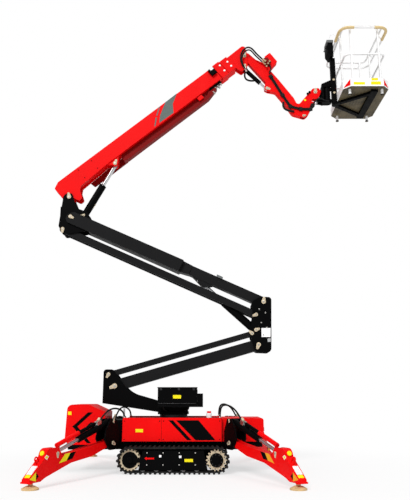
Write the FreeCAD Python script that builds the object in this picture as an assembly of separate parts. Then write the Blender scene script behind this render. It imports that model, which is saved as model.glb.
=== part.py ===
import FreeCAD, Part
import math
import os

# Spider lift: tracked articulating boom lift on four folding outriggers.
# Millimetres. X runs along the machine, Y away from the viewer, Z up.
# The origin is on the floor, under the slewing axis.

V = FreeCAD.Vector
os.makedirs("parts", exist_ok=True)

# Fits
RUN = 0.05          # radial clearance of a pin in its bore
SEAT = 0.2          # gap between a piece and what it is bolted on
SLIDE = 0.1         # radial clearance of a rod in its barrel
PAD_GAP = 0.25      # between a wear pad and the section it guides
GAP = 6.0           # side clearance between moving plates

# Tracks
TRACK_X = (-617.0, 675.0)      # idler and sprocket centres
TRACK_R = 200.0                # to the tips of the shoe lugs
TRACK_Y = (390.0, 620.0)       # inner and outer edge of a belt
LUG_H = 22.0
LUG_N = 51
BELT_T = 18.0
WHEEL_GAP = 3.0
SPROCKET_R = TRACK_R - LUG_H - BELT_T - WHEEL_GAP
IDLER_R = SPROCKET_R
SPROCKET_TEETH = 18
SPROCKET_Y = (560.0, 590.0)
TOOTH_H = 24.0
MOTOR_R = 101.0
MOTOR_FACE = 604.0
YOKE_Y = (448.0, 592.0)
YOKE_T = 22.0
ROLLER_X = (-420.0, -220.0, -20.0, 180.0, 380.0)
ROLLER_R = 58.0
ROLLER_Z = LUG_H + BELT_T + ROLLER_R + SEAT    # rolling on the belt's inner face
HANGER_Y = (460.0, 590.0)
HANGER_T = 8.0

# Chassis
DECK_X = 758.0
DECK_Y = 430.0
DECK_Z = (330.0, 785.0)
SPINE_Y = 300.0
FRAME_X = (-1620.0, 1385.0)
FRAME_TOP = 450.0
PANEL_T = 20.0
PANEL_Z = 456.0
HOOD_Y = 370.0
HOOD_LOW = FRAME_TOP + SEAT
TANK_TOP = 795.0

# Slewing ring
RING_R = 221.0
RING_BORE = 160.0
RING_Z = (785.0, 840.0)

# Turret's shelf and the boxes on it
SHELF_Z = 988.0
BOX_X = (-230.0, 379.0)
BOX_Y = (145.0, 420.0)
END_BOX_X = (385.0, 472.0)
CONTROL_TOP = 1262.0
VALVE_TOP = 1230.0
END_BOX_TOP = 1166.0
LID_T = 14.0

# Plate layout across the machine, half widths from the centre plane
ARM_Y = 80.0                                # box arms
TIE_Y = (ARM_Y + 7.0, ARM_Y + 29.0)         # tie bars, either side of an arm
SIDE_Y = (TIE_Y[1] + GAP, TIE_Y[1] + GAP + 20.0)   # bracket plates
LINK_Y = 26.0                               # synchronising link
HEAD_Y = (SIDE_Y[1] + GAP, SIDE_Y[1] + GAP + 22.0)   # upper arm's head, outside the top bracket
EYE_Y = 38.0                                # cylinder eyes
JIB_Y = 50.0
JIB_EYE_Y = 26.0
LEVEL_EYE_Y = 24.0
TRAY_Y = 62.0
BOOM_TRAIL_Y = (92.0, 104.0)                # hose trunking beside the boom's ram

# Boom sections: lower and upper edge over the pivot's line, half width and wall
OUTER = (75.0, 351.0, 108.0, 8.0)
MID = (OUTER[0] + 17.0, OUTER[1] - 17.0, OUTER[2] - 18.0, 6.0)
INNER = (MID[0] + 14.0, MID[1] - 14.0, MID[2] - 16.0, 6.0)
TRAY_T = (1150.0, 3330.0)      # from the boom pivot along the boom

# Depths of the box arms below and above the line of their pins
LOWER_ARM_H = (85.0, 95.0)
DEEP_ARM_H = (97.0, 112.0)

# Pin positions in the side view, X and Z, at rest
LOWER_PIVOT = (-946.0, 1284.0)
LOWER_TIE_PIVOT = (-1050.0, 1467.0)
ELBOW_LOW = (1378.0, 1942.0)
ELBOW_TIE_LOW = (1274.0, 2125.0)
LINK_LOW = (1523.0, 1914.0)
LINK_TOP = (1317.0, 2611.0)
ELBOW_TOP = (1474.0, 2647.0)
ELBOW_TIE_TOP = (1348.0, 2433.0)
ARM_CYL_BASE = (1340.0, 2182.0)
ARM_CYL_EYE = (487.0, 2950.0)
UPPER_END = (-1800.0, 4112.0)
UPPER_TIE_END = (-1926.0, 3898.0)
BOOM_PIVOT = (-1845.0, 4474.0)
BOOM_CYL_BASE = (-1620.0, 4118.0)
BOOM_CYL_EYE = (-1080.0, 5111.0)
BOOM_ANGLE = 39.5
JIB_PIVOT = (1230.0, 7229.0)
JIB_CYL_BASE = (1232.0, 7000.0)
JIB_CYL_EYE = (1636.0, 6586.0)
LEVEL_BASE = (2282.0, 6042.0)
LEVEL_EYE = (2554.0, 6346.0)
LEVEL_PIVOT = (2514.0, 6512.0)

# Hydraulic cylinders
EYE_REACH = 1.5     # length of an eye's lug over its radius
EYE_LAP = 8.0       # lug inside the barrel's end
END_CAP = 24.0
HOSE_R = 12.0
CLIP = (28.0, 34.0)    # half length along the hoses and half width

# Rotator between the jib and the basket
ROTATOR_X = 2735.0
ROTATOR_Z = (6300.0, 6640.0)
CLEVIS_T = 35.0
CLEVIS_Y = 70.0
SHAFT_R = 30.0
DRUM_R = 58.0
POST_Y = 45.0

# Basket
BASKET_X = (2905.0, 3695.0)
BASKET_Y = 632.0
CORNER = 115.0      # cut off each corner of the floor
FLOOR_Z = 6320.0
FLOOR_T = 12.0
TOE_H = 142.0
TOE_T = 4.0
BASKET_FOOT = (22.0, 110.0)
RAIL_H = 1190.0
TOP_RAIL = FLOOR_Z + RAIL_H
MID_RAIL = FLOOR_Z + 0.516 * RAIL_H
RAIL_R = 16.0
RAIL_INSET = (50.0, 22.0)      # of the rails' middle line, at the ends and at the sides
RAIL_BEND = 85.0
BEND_STEPS = 3
LOOP_OUT = 72.0     # lower loop, outward of the top loop and below it
LOOP_DROP = 80.0
STRUT_R = 7.0       # half side of a square strut between the loops
POST_R = 14.0       # half side of a square post
POST_INSET = 105.0
PANEL_LOW = 7205.0
PANEL_TOP = TOP_RAIL + 20.0
PANEL_Y = 115.0
FRAME_TOP_Z = FLOOR_Z - FLOOR_T
FRAME_H = 45.0
V_ARM_Y = 35.0
V_END = (3445.0, 470.0)
HOLE_N = 6
HOLE_R = 13.0

# Outriggers, in their own plane: distance out from the hinge, and height
LEG_HINGE = (945.0, 600.0)
LEG_ANGLE = 64.0
LEG_HINGE_Z = 450.0
LEG_CYL_TOP = (0.0, 755.0)
LEG_CYL_EYE = (1224.0, 398.0)
LEG_Y = 60.0
LEG_EYE_Y = 28.0
LEG_PLATE_T = 20.0
LEG_PIN_R = 28.0
LEG_CYL_PIN_R = 22.0
FOOT_S = 1640.0
FOOT_R = 108.0
FOOT_STEM_R = 30.0


def box(x0, x1, y0, y1, z0, z1):
    return Part.makeBox(x1 - x0, y1 - y0, z1 - z0, V(x0, y0, z0))


def mid_box(x0, x1, half, z0, z1):
    return box(x0, x1, -half, half, z0, z1)


def outline_wire(points, y):
    """A closed outline in the side view; a point's third value is the radius of that corner."""
    count = len(points)
    corners = []
    for i, point in enumerate(points):
        corner = V(point[0], y, point[1])
        back = (V(points[i - 1][0], y, points[i - 1][1]) - corner).normalize()
        following = points[(i + 1) % count]
        ahead = (V(following[0], y, following[1]) - corner).normalize()
        radius = point[2] if len(point) > 2 else 0.0
        half = back.getAngle(ahead) / 2
        reach = radius / math.tan(half)
        middle = corner + (back + ahead).normalize() * (radius / math.sin(half) - radius)
        corners.append((corner + back * reach, middle, corner + ahead * reach, radius))
    edges = []
    for i, (start, middle, end, radius) in enumerate(corners):
        if radius:
            edges.append(Part.Arc(start, middle, end).toShape())
        edges.append(Part.LineSegment(end, corners[(i + 1) % count][0]).toShape())
    return Part.Wire(edges)


def plate(points, y0, y1):
    return Part.Face(outline_wire(points, y0)).extrude(V(0, y1 - y0, 0))


def slab(points, half):
    return plate(points, -half, half)


def disc(p, r, y0, y1):
    return Part.makeCylinder(r, y1 - y0, V(p[0], y0, p[1]), V(0, 1, 0))


def boss(p, r, half):
    return disc(p, r, -half, half)


def rod(p, q, r):
    a, b = V(*p), V(*q)
    return Part.makeCylinder(r, (b - a).Length, a, b - a)


def fuse(*shapes):
    out = shapes[0]
    if len(shapes) > 1:
        out = out.multiFuse(list(shapes[1:]))
    return out.removeSplitter()


def cut(shape, *tools):
    return shape.cut(list(tools))


def mirror_y(shape):
    return shape.mirror(V(0, 0, 0), V(0, 1, 0))


def mirror_x(shape):
    return shape.mirror(V(0, 0, 0), V(1, 0, 0))


def pair(shape):
    return Part.makeCompound([shape, mirror_y(shape)])


def solids(*shapes):
    return Part.makeCompound([s for shape in shapes for s in shape.Solids])


def along(p, q, t, side=0.0):
    length = math.hypot(q[0] - p[0], q[1] - p[1])
    ux, uz = (q[0] - p[0]) / length, (q[1] - p[1]) / length
    return (p[0] + ux * t - uz * side, p[1] + uz * t + ux * side)


def distance(p, q):
    return math.hypot(q[0] - p[0], q[1] - p[1])


def beam(p, q, t0, t1, low, high, half):
    corners = [along(p, q, t0, low), along(p, q, t1, low), along(p, q, t1, high), along(p, q, t0, high)]
    return slab(corners, half)


def link(p, q, r, y0, y1, bore):
    length = distance(p, q)
    corners = [along(p, q, 0, -r), along(p, q, length, -r), along(p, q, length, r), along(p, q, 0, r)]
    body = fuse(plate(corners, y0, y1), disc(p, r, y0, y1), disc(q, r, y0, y1))
    return cut(body, disc(p, bore + RUN, y0 - 1, y1 + 1), disc(q, bore + RUN, y0 - 1, y1 + 1))


def save(name, shape):
    shape.exportStep("parts/" + name + ".step")


def cylinder_pair(base, eye, size, half):
    """A hydraulic cylinder in the side view: barrel with its base eye, and rod with its eye."""
    base_r, barrel_r, rod_r, eye_r, barrel_len, retract, pin = size
    length = distance(base, eye)

    def span(t0, t1, r):
        a, b = along(base, eye, t0), along(base, eye, t1)
        return rod((a[0], 0, a[1]), (b[0], 0, b[1]), r)

    def lug(p, q, r):
        return fuse(boss(p, r, half), beam(p, q, 0.0, EYE_REACH * r, -r, r, half))

    start = EYE_REACH * base_r - EYE_LAP
    barrel = fuse(lug(base, eye, base_r), span(start, barrel_len, barrel_r))
    bottom = start + END_CAP
    barrel = cut(barrel, boss(base, pin + RUN, half + 1), span(bottom, barrel_len + 1.0, rod_r + SLIDE))
    ram = fuse(span(bottom + retract, length - EYE_REACH * eye_r + EYE_LAP, rod_r), lug(eye, base, eye_r))
    return barrel, ram


# Tracks
def track_belt():
    x0, x1 = TRACK_X
    base = TRACK_R - LUG_H
    straight = x1 - x0
    total = 2 * straight + 2 * math.pi * base

    def point(t, r):
        t = t % total
        if t < straight:
            return (x0 + t, TRACK_R - r)
        t -= straight
        if t < math.pi * base:
            a = -math.pi / 2 + t / base
            return (x1 + r * math.cos(a), TRACK_R + r * math.sin(a))
        t -= math.pi * base
        if t < straight:
            return (x1 - t, TRACK_R + r)
        t -= straight
        a = math.pi / 2 + t / base
        return (x0 + r * math.cos(a), TRACK_R + r * math.sin(a))

    pitch = total / LUG_N
    outline = []
    for i in range(LUG_N):
        t = i * pitch
        for offset, r in ((0.0, base), (0.12, TRACK_R), (0.44, TRACK_R), (0.56, base)):
            outline.append(point(t + offset * pitch, r))
    outer = plate(outline, TRACK_Y[0], TRACK_Y[1])
    r = base - BELT_T
    hole = fuse(
        box(x0, x1, TRACK_Y[0] - 1, TRACK_Y[1] + 1, TRACK_R - r, TRACK_R + r),
        disc((x0, TRACK_R), r, TRACK_Y[0] - 1, TRACK_Y[1] + 1),
        disc((x1, TRACK_R), r, TRACK_Y[0] - 1, TRACK_Y[1] + 1))
    return cut(outer, hole)


def sprocket():
    centre = (TRACK_X[1], TRACK_R)
    step = 2 * math.pi / SPROCKET_TEETH
    points = []
    for i in range(SPROCKET_TEETH):
        for share, r in ((-0.30, SPROCKET_R - TOOTH_H), (-0.14, SPROCKET_R), (0.14, SPROCKET_R),
                         (0.30, SPROCKET_R - TOOTH_H)):
            a = (i + share) * step
            points.append((centre[0] + r * math.cos(a), centre[1] + r * math.sin(a)))
    ring = plate(points, SPROCKET_Y[0], SPROCKET_Y[1])
    return cut(ring, disc(centre, MOTOR_R + SEAT, SPROCKET_Y[0] - 1, SPROCKET_Y[1] + 1))


def idler():
    centre = (TRACK_X[0], TRACK_R)
    y0, y1 = YOKE_Y[0] + YOKE_T + SEAT, YOKE_Y[1] - YOKE_T - SEAT
    mid = (y0 + y1) / 2
    rim = disc(centre, IDLER_R + 1, mid - 20.0, mid + 20.0)
    groove = cut(rim, disc(centre, IDLER_R - 18.0, mid - 21.0, mid + 21.0))
    return cut(disc(centre, IDLER_R, y0, y1), groove)


def rollers():
    out = []
    for x in ROLLER_X:
        out.append(disc((x, ROLLER_Z), ROLLER_R, HANGER_Y[0] + HANGER_T + SEAT, HANGER_Y[1] - HANGER_T - SEAT))
    return out


def track_frame():
    rail = box(-430.0, 500.0, 490.0, 560.0, 175.0, 290.0)
    yokes = []
    for y0 in (YOKE_Y[0], YOKE_Y[1] - YOKE_T):
        yokes.append(box(TRACK_X[0] - 30.0, -425.0, y0, y0 + YOKE_T, 165.0, 235.0))
    cross = box(-450.0, -425.0, YOKE_Y[0], YOKE_Y[1], 175.0, 225.0)
    motor = disc((TRACK_X[1], TRACK_R), MOTOR_R, 420.0, MOTOR_FACE)
    arm = box(480.0, 640.0, 440.0, 500.0, 160.0, 240.0)
    hangers = []
    for x in ROLLER_X:
        for y0 in (HANGER_Y[0], HANGER_Y[1] - HANGER_T):
            hangers.append(plate([(x - 28, 200.0), (x - 28, ROLLER_Z - 24, 26.0), (x + 28, ROLLER_Z - 24, 26.0),
                                  (x + 28, 200.0)], y0, y0 + HANGER_T))
        hangers.append(box(x - 28, x + 28, HANGER_Y[0], HANGER_Y[1], 180.0, 200.0))
    stubs = [box(x - 60, x + 60, SPINE_Y, 495.0, 180.0, 285.0) for x in (-350.0, 350.0)]
    return fuse(rail, *yokes, cross, motor, arm, *hangers, *stubs)


# Chassis
def chassis_frame():
    spine = mid_box(-1040.0, DECK_X, SPINE_Y, 180.0, 765.0)
    spine = cut(spine, mid_box(-1200.0, -620.0, 400.0, 0.0, DECK_Z[0]), mid_box(620.0, 800.0, 400.0, 0.0, DECK_Z[0]))
    ends = mid_box(FRAME_X[0], FRAME_X[1], 345.0, 370.0, FRAME_TOP)
    ends = cut(ends, mid_box(-1000.0, 1000.0, 500.0, 300.0, 500.0))
    spine_low = mid_box(-1100.0, 1100.0, SPINE_Y, DECK_Z[0], FRAME_TOP)
    deck = mid_box(-DECK_X, DECK_X, DECK_Y, 765.0, DECK_Z[1])
    skirt = box(-1600.0, -1130.0, -350.0, 350.0, 330.0, 372.0)
    return fuse(spine, ends, spine_low, deck, skirt)


def side_panels():
    near = box(-DECK_X, DECK_X, DECK_Y, DECK_Y + PANEL_T, PANEL_Z, DECK_Z[1])
    return pair(near)


def engine_hood():
    outline = [(-1042, HOOD_LOW), (-1042, 885), (-1297, 998, 30), (-1632, 998, 80), (-1650, 480, 40),
               (-1620, HOOD_LOW)]
    return slab(outline, HOOD_Y)


def tank_hood():
    x0, x1 = DECK_X + 5, FRAME_X[1] + 25
    return slab([(x0, HOOD_LOW), (FRAME_X[1], HOOD_LOW), (x1, HOOD_LOW + 30, 20), (x1, TANK_TOP, 35), (x0, TANK_TOP)],
                HOOD_Y)


def leg_bracket():
    outline = [(-170, 440), (-170, 600, 40), (-70, 799, 60), (60, 799, 70), (177, 656, 40), (212, 512, 40),
               (80, 352, 30), (-50, 352, 40), (-120, 405)]
    y0 = LEG_Y + GAP
    y1 = y0 + LEG_PLATE_T
    side = plate(outline, y0, y1)
    web = box(-170.0, -140.0, -y0 - 4, y0 + 4, 440.0, 600.0)
    hinge = boss((0.0, LEG_HINGE_Z), LEG_PIN_R, y1)
    top = boss(LEG_CYL_TOP, LEG_CYL_PIN_R, y1)
    head = place_leg(fuse(side, mirror_y(side), web, hinge, top))
    low = box(835.0, 960.0, SPINE_Y, 470.0, 350.0, 448.0)
    high = box(835.0, 960.0, 385.0, 470.0, 440.0, 600.0)
    return fuse(head, low, high)


def place_leg(shape):
    out = shape.copy()
    out.rotate(V(0, 0, 0), V(0, 0, 1), LEG_ANGLE)
    out.translate(V(LEG_HINGE[0], LEG_HINGE[1], 0))
    return out


def four(shape):
    right = [shape, mirror_y(shape)]
    return [right[0], right[1], mirror_x(right[0]), mirror_x(right[1])]


def slew_ring():
    outer = Part.makeCylinder(RING_R, RING_Z[1] - RING_Z[0], V(0, 0, RING_Z[0]))
    return cut(outer, Part.makeCylinder(RING_BORE, 200.0, V(0, 0, RING_Z[0] - 50)))


# Outriggers
def leg():
    outline = [(-40, 412), (95, 398, 80), (470, 300, 300), (932, 256, 300), (1448, 122, 300), (1530, 84, 60),
               (1735, 84, 12), (1735, 128, 12), (1465, 370, 60), (1430, 474, 90), (1200, 474, 80), (1124, 362, 40),
               (911, 390, 200), (227, 465), (0, 505)]
    body = fuse(slab(outline, LEG_Y), boss((0.0, LEG_HINGE_Z), 55.0, LEG_Y))
    x = LEG_CYL_EYE[0]
    slot = slab([(x - 204, 300), (x + 61, 300), (x + 61, 600), (x - 204, 600)], LEG_EYE_Y + GAP)
    socket = Part.makeCylinder(FOOT_STEM_R, 60.0, V(FOOT_S, 0, 60.0))
    return cut(body, slot, boss((0.0, LEG_HINGE_Z), LEG_PIN_R + RUN, 100.0), socket)


def foot():
    """A dished pad on its stem, turned about the stem's axis."""
    stem = FOOT_STEM_R - RUN
    points = [(0, 0), (FOOT_R, 0), (FOOT_R, 18), (60, 44), (stem, 52), (stem, 108), (0, 108)]
    profile = Part.makePolygon([V(r, 0, z) for r, z in points + points[:1]])
    pad = Part.Face(profile).revolve(V(0, 0, 0), V(0, 0, 1), 360.0)
    pad.translate(V(FOOT_S, 0, 0))
    return pad


# Turret
def turret_frame():
    outline = [(-1131, 1015), (-1131, 1545, 45), (-985, 1545, 40), (-955, 1510), (-700, 1180, 420), (-240, 1051),
               (230, 1010), (230, 860), (-220, 860), (-245, 881)]
    side = plate(outline, SIDE_Y[0], SIDE_Y[1])
    base = mid_box(-240.0, 240.0, 200.0, RING_Z[1] + 7.0, RING_Z[1] + 42.0)
    spigot = Part.makeCylinder(RING_BORE - RUN, 52.0, V(0, 0, RING_Z[1] - 40.0))
    floor = slab([(-1118, 1026), (-150, 880), (-150, 902), (-1118, 1048)], SIDE_Y[0] + 5)
    back = mid_box(-1126.0, -1108.0, SIDE_Y[0] + 5, 1030.0, 1330.0)
    pivot = boss(LOWER_PIVOT, 35.0, SIDE_Y[1])
    tie = disc(LOWER_TIE_PIVOT, 22.0, TIE_Y[0], SIDE_Y[1])
    x0, x1 = BOX_X
    near_shelf = box(x0, END_BOX_X[1], -BOX_Y[1] - 5, -SIDE_Y[0] - 15, SHELF_Z - 26.0, SHELF_Z)
    far_shelf = box(x0, x1, SIDE_Y[0] + 15, BOX_Y[1] + 5, SHELF_Z - 26.0, SHELF_Z)
    return fuse(side, mirror_y(side), base, spigot, floor, back, pivot, tie, mirror_y(tie), near_shelf, far_shelf)


def control_box():
    """The near cabinet with its overhanging lid, seated on the shelf."""
    x0, x1 = BOX_X
    body = box(x0, x1, -BOX_Y[1], -BOX_Y[0], SHELF_Z + SEAT, CONTROL_TOP - LID_T)
    lid = box(x0 - 6, x1 + 6, -BOX_Y[1] - 8, -BOX_Y[0] + 6, CONTROL_TOP - LID_T, CONTROL_TOP)
    door = box(x0 + 30, x1 - 30, -BOX_Y[1] - 5, -BOX_Y[1], SHELF_Z + 25.0, CONTROL_TOP - LID_T - 15.0)
    return fuse(body, lid, door)


def valve_box():
    x0, x1 = BOX_X
    far = box(x0, x1, BOX_Y[0], BOX_Y[1], SHELF_Z + SEAT, VALVE_TOP)
    end = box(END_BOX_X[0], END_BOX_X[1], -BOX_Y[1] + 20, -BOX_Y[0] - 5, SHELF_Z + SEAT, END_BOX_TOP)
    return solids(far, end)


# Riser
def sector(centre, r0, r1, a0, a1, half):
    points = []
    steps = 8
    for i in range(steps + 1):
        a = math.radians(a0 + (a1 - a0) * i / steps)
        points.append((centre[0] + r1 * math.cos(a), centre[1] + r1 * math.sin(a)))
    for i in range(steps + 1):
        a = math.radians(a1 + (a0 - a1) * i / steps)
        points.append((centre[0] + r0 * math.cos(a), centre[1] + r0 * math.sin(a)))
    return slab(points, half)


def lower_arm():
    p, q = LOWER_PIVOT, ELBOW_LOW
    length = distance(p, q)
    body = beam(p, q, 0.0, length, -LOWER_ARM_H[0], LOWER_ARM_H[1], ARM_Y)
    tail = fuse(beam(q, LINK_LOW, 0.0, distance(q, LINK_LOW), -70.0, 55.0, ARM_Y), boss(LINK_LOW, 48.0, ARM_Y))
    body = fuse(body, boss(p, LOWER_ARM_H[1], ARM_Y), boss(q, LOWER_ARM_H[1], ARM_Y), tail)
    body = cut(
        body,
        boss(p, 35.0 + RUN, 200.0),
        boss(q, 35.0 + RUN, 200.0),
        sector(q, 66.0, 260.0, -80.0, 100.0, LINK_Y + GAP))
    return fuse(body, boss(LINK_LOW, 16.0, ARM_Y))


def lower_tie():
    bar = link(LOWER_TIE_PIVOT, ELBOW_TIE_LOW, 40.0, TIE_Y[0], TIE_Y[1], 22.0)
    return pair(bar)


def elbow_bracket():
    outline = [(1428, 2731), (1606, 2722, 50), (1584, 1812, 70), (1318, 1822, 60), (1232, 2130, 30),
               (1300, 2440, 60), (1270, 2600, 30), (1300, 2662)]
    side = plate(outline, SIDE_Y[0], SIDE_Y[1])
    web = mid_box(1576.0, 1592.0, SIDE_Y[0] + 5, 2060.0, 2500.0)
    parts = [side, mirror_y(side), web]
    for p, r in ((ELBOW_LOW, 35.0), (ELBOW_TOP, 35.0), (ARM_CYL_BASE, 25.0)):
        parts.append(boss(p, r, SIDE_Y[1]))
    for p, r in ((ELBOW_TIE_LOW, 22.0), (ELBOW_TIE_TOP, 26.0)):
        stub = disc(p, r, TIE_Y[0], SIDE_Y[1])
        parts += [stub, mirror_y(stub)]
    return fuse(*parts)


def sync_link():
    bar = link(LINK_LOW, LINK_TOP, 25.0, -LINK_Y, LINK_Y, 16.0)
    return fuse(bar, boss(LINK_TOP, 24.0, LINK_Y))


def upper_arm():
    p, q = ELBOW_TOP, UPPER_END
    length = distance(p, q)
    low, high = DEEP_ARM_H

    def frame(points):
        return [along(p, q, *point[:2]) + point[2:] for point in points]

    slim = beam(p, q, 0.0, 1520.0, -82.0, 82.0, ARM_Y)
    neck = slab(frame([(1330, -82), (1560, -low), (1560, high), (1330, 82)]), ARM_Y + 14.0)
    deep = beam(p, q, 1500.0, length - 400.0, -low, high, HEAD_Y[1])
    cheek = frame([(length - 410, -low), (length - 20, -low, 60), (length + 60, -20, 60), (length + 60, 60, 60),
                   (length + 10, high, 40), (length - 410, high)])
    cheek = plate(cheek, HEAD_Y[0], HEAD_Y[1])
    ears = fuse(beam(p, LINK_TOP, 20.0, distance(p, LINK_TOP), -30.0, 60.0, ARM_Y), boss(LINK_TOP, 40.0, ARM_Y))
    eye_t = distance(p, ARM_CYL_EYE) - 9.0
    lug = slab(frame([(eye_t - 165, 70), (eye_t + 265, 70), (eye_t + 35, 165), (eye_t - 35, 165)]), ARM_Y - 8.0)
    lug = fuse(lug, boss(ARM_CYL_EYE, 52.0, ARM_Y - 8.0))
    body = fuse(slim, neck, deep, boss(p, 82.0, ARM_Y), ears, lug, cheek, mirror_y(cheek))
    pocket = slab(frame([(650, 60), (900, 30), (1125, 30), (1125, 400), (650, 400)]), EYE_Y + GAP)
    window = slab(frame([(1140, 95), (1210, 95), (1140, 126)]), 200.0)
    return cut(
        body,
        boss(p, 35.0 + RUN, 200.0),
        boss(q, 35.0 + RUN, 200.0),
        sector(p, 62.0, 260.0, 184.0, 300.0, LINK_Y + GAP),
        boss(LINK_TOP, 54.0, LINK_Y + GAP),
        pocket,
        window)


def upper_tie():
    return pair(link(ELBOW_TIE_TOP, UPPER_TIE_END, 56.0, TIE_Y[0], TIE_Y[1], 26.0))


def top_bracket():
    outline = [(-2000, 3948, 50), (-1914, 3798, 40), (-1529, 3860, 40), (-1430, 4040, 60), (-1520, 4200, 60),
               (-1690, 4262, 60), (-1768, 4440), (-1790, 4535, 45), (-1900, 4535, 50), (-1945, 4480)]
    side = plate(outline, SIDE_Y[0], SIDE_Y[1])
    web = mid_box(-1985.0, -1967.0, SIDE_Y[0] + 5, 3985.0, 4300.0)
    parts = [side, mirror_y(side), web]
    for p, r, half in ((BOOM_PIVOT, 35.0, SIDE_Y[1]), (UPPER_END, 35.0, HEAD_Y[1]), (BOOM_CYL_BASE, 28.0, SIDE_Y[1])):
        parts.append(boss(p, r, half))
    stub = disc(UPPER_TIE_END, 26.0, TIE_Y[0], SIDE_Y[1])
    return fuse(*parts, stub, mirror_y(stub))


# Boom
def on_boom(t, up, *radius):
    a = math.radians(BOOM_ANGLE)
    return (BOOM_PIVOT[0] + t * math.cos(a) - up * math.sin(a),
            BOOM_PIVOT[1] + t * math.sin(a) + up * math.cos(a)) + radius


def boom_slab(points, half):
    return slab([on_boom(*point) for point in points], half)


def boom_block(t0, t1, low, high, half):
    return boom_slab([(t0, low), (t1, low), (t1, high), (t0, high)], half)


def boom_tube(t0, t1, section):
    low, high, half, wall = section
    return cut(boom_block(t0, t1, low, high, half),
               boom_block(t0 - 9, t1 + 9, low + wall, high - wall, half - wall))


def collar(t0, t1, own, reach, half):
    """A thick frame round a section's mouth."""
    low, high, own_half, wall = own
    return cut(boom_block(t0, t1, low - reach, high + reach, half),
               boom_block(t0 - 20, t1 + 20, low + 1, high - 1, own_half - 1))


def hollow(t0, t1, section):
    low, high, half, wall = section
    return boom_block(t0, t1, low + wall, high - wall, half - wall)


def wear_pads(t0, t1, own, room):
    """Blocks on a section's rear end that fill the room inside the next section out."""
    floor, roof, room_half = room[0] + room[3] + PAD_GAP, room[1] - room[3] - PAD_GAP, room[2] - room[3] - PAD_GAP
    low = boom_block(t0, t1, floor, own[0], own[2] * 0.6)
    top = boom_block(t0, t1, own[1], roof, own[2] * 0.6)
    u0, u1 = own[0] + 40.0, own[1] - 40.0
    side = plate([on_boom(t, u) for t, u in ((t0, u0), (t1, u0), (t1, u1), (t0, u1))], own[2], room_half)
    return [low, top, side, mirror_y(side)]


def boom_outer():
    low, high, half = OUTER[:3]
    top = high - 1
    tube = boom_tube(150.0, 3500.0, OUTER)
    cheek = [(8, top), (-108, 290, 30), (-98, 76), (-60, -40), (-20, -62), (50, -62), (90, -152, 30), (165, -152, 40),
             (213, -20, 60), (277, 40), (884, low), (884, low + 5), (300, high)]
    side = plate([on_boom(*point) for point in cheek], half - 14.0, half)
    back = boom_slab([(8, top), (-108, 290, 30), (-102, 150), (-92, 150), (-96, 284, 18), (12, top - 12),
                      (160, top - 12), (160, top)], half)
    eye_t = distance(BOOM_PIVOT, BOOM_CYL_EYE)
    gusset = [(eye_t - 150, low + 5), (eye_t + 140, low + 5), (eye_t + 55, -15, 30), (eye_t + 20, -28, 20),
              (eye_t - 25, -28, 30), (eye_t - 65, 20, 30)]
    ear = fuse(plate([on_boom(*point) for point in gusset], EYE_Y + GAP, half - 20.0),
               disc(BOOM_CYL_EYE, 48.0, EYE_Y + GAP, half - 20.0))
    hub = disc(BOOM_PIVOT, 60.0, half - 30.0, half)
    body = fuse(tube, side, mirror_y(side), back, ear, mirror_y(ear), hub, mirror_y(hub))
    return cut(body, boss(BOOM_PIVOT, 35.0 + RUN, 200.0), hollow(150, 3510, OUTER))


def boom_tray():
    """The hose tray under the boom: a narrow web with a wider channel below it."""
    low = OUTER[0] - SEAT
    web = boom_block(TRAY_T[0] + 30, TRAY_T[1] - 60, -6.0, low, TRAY_Y - 22.0)
    channel = boom_slab([(TRAY_T[0], -5), (TRAY_T[0], -50, 15), (TRAY_T[0] + 60, -72, 30), (3080, -72, 60),
                         (TRAY_T[1], -5, 15), (TRAY_T[1], 30), (3140, 30), (3100, -5)], TRAY_Y)
    t = TRAY_T[0] + 60
    trunk = ((450, 42), (470, -60, 20), (t, -60), (t, OUTER[0] - 7), (884, OUTER[0] - 7))
    rear = plate([on_boom(*point) for point in trunk], BOOM_TRAIL_Y[0], BOOM_TRAIL_Y[1])
    bridge = plate([on_boom(*point) for point in ((t - 50, -5), (t - 50, -60), (t, -60), (t, -5))], TRAY_Y - 10,
                   BOOM_TRAIL_Y[1])
    return fuse(web, channel, rear, bridge)


def boom_mid():
    tube = boom_tube(260.0, 3650.0, MID)
    mouth = collar(3516.0, 3660.0, MID, 31.0, OUTER[2] + 10.0)
    pads = wear_pads(300.0, 420.0, MID, OUTER)
    return fuse(cut(fuse(tube, mouth), hollow(250, 3670, MID)), *pads)


def boom_inner():
    low, high, half = INNER[:3]
    tube = boom_tube(400.0, 3860.0, INNER)
    mouth = collar(3672.0, 3835.0, INNER, 34.0, OUTER[2])
    head = [(3835, high + 22), (4215, high + 32, 30), (4255, high - 10, 30), (4200, 190), (4040, -25, 50),
            (3985, -40), (3880, -40, 30), (3850, 75)]
    side = plate([on_boom(*point) for point in head], JIB_Y + GAP, half)
    bridge = boom_block(3835, 3870, low + 4, high + 10, half)
    pads = wear_pads(440.0, 560.0, INNER, MID)
    pivot = boss(JIB_PIVOT, 25.0, half)
    base = boss(JIB_CYL_BASE, 20.0, half)
    return fuse(cut(fuse(tube, mouth, side, mirror_y(side), bridge), hollow(390, 3836, INNER)), pivot, base, *pads)


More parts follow.
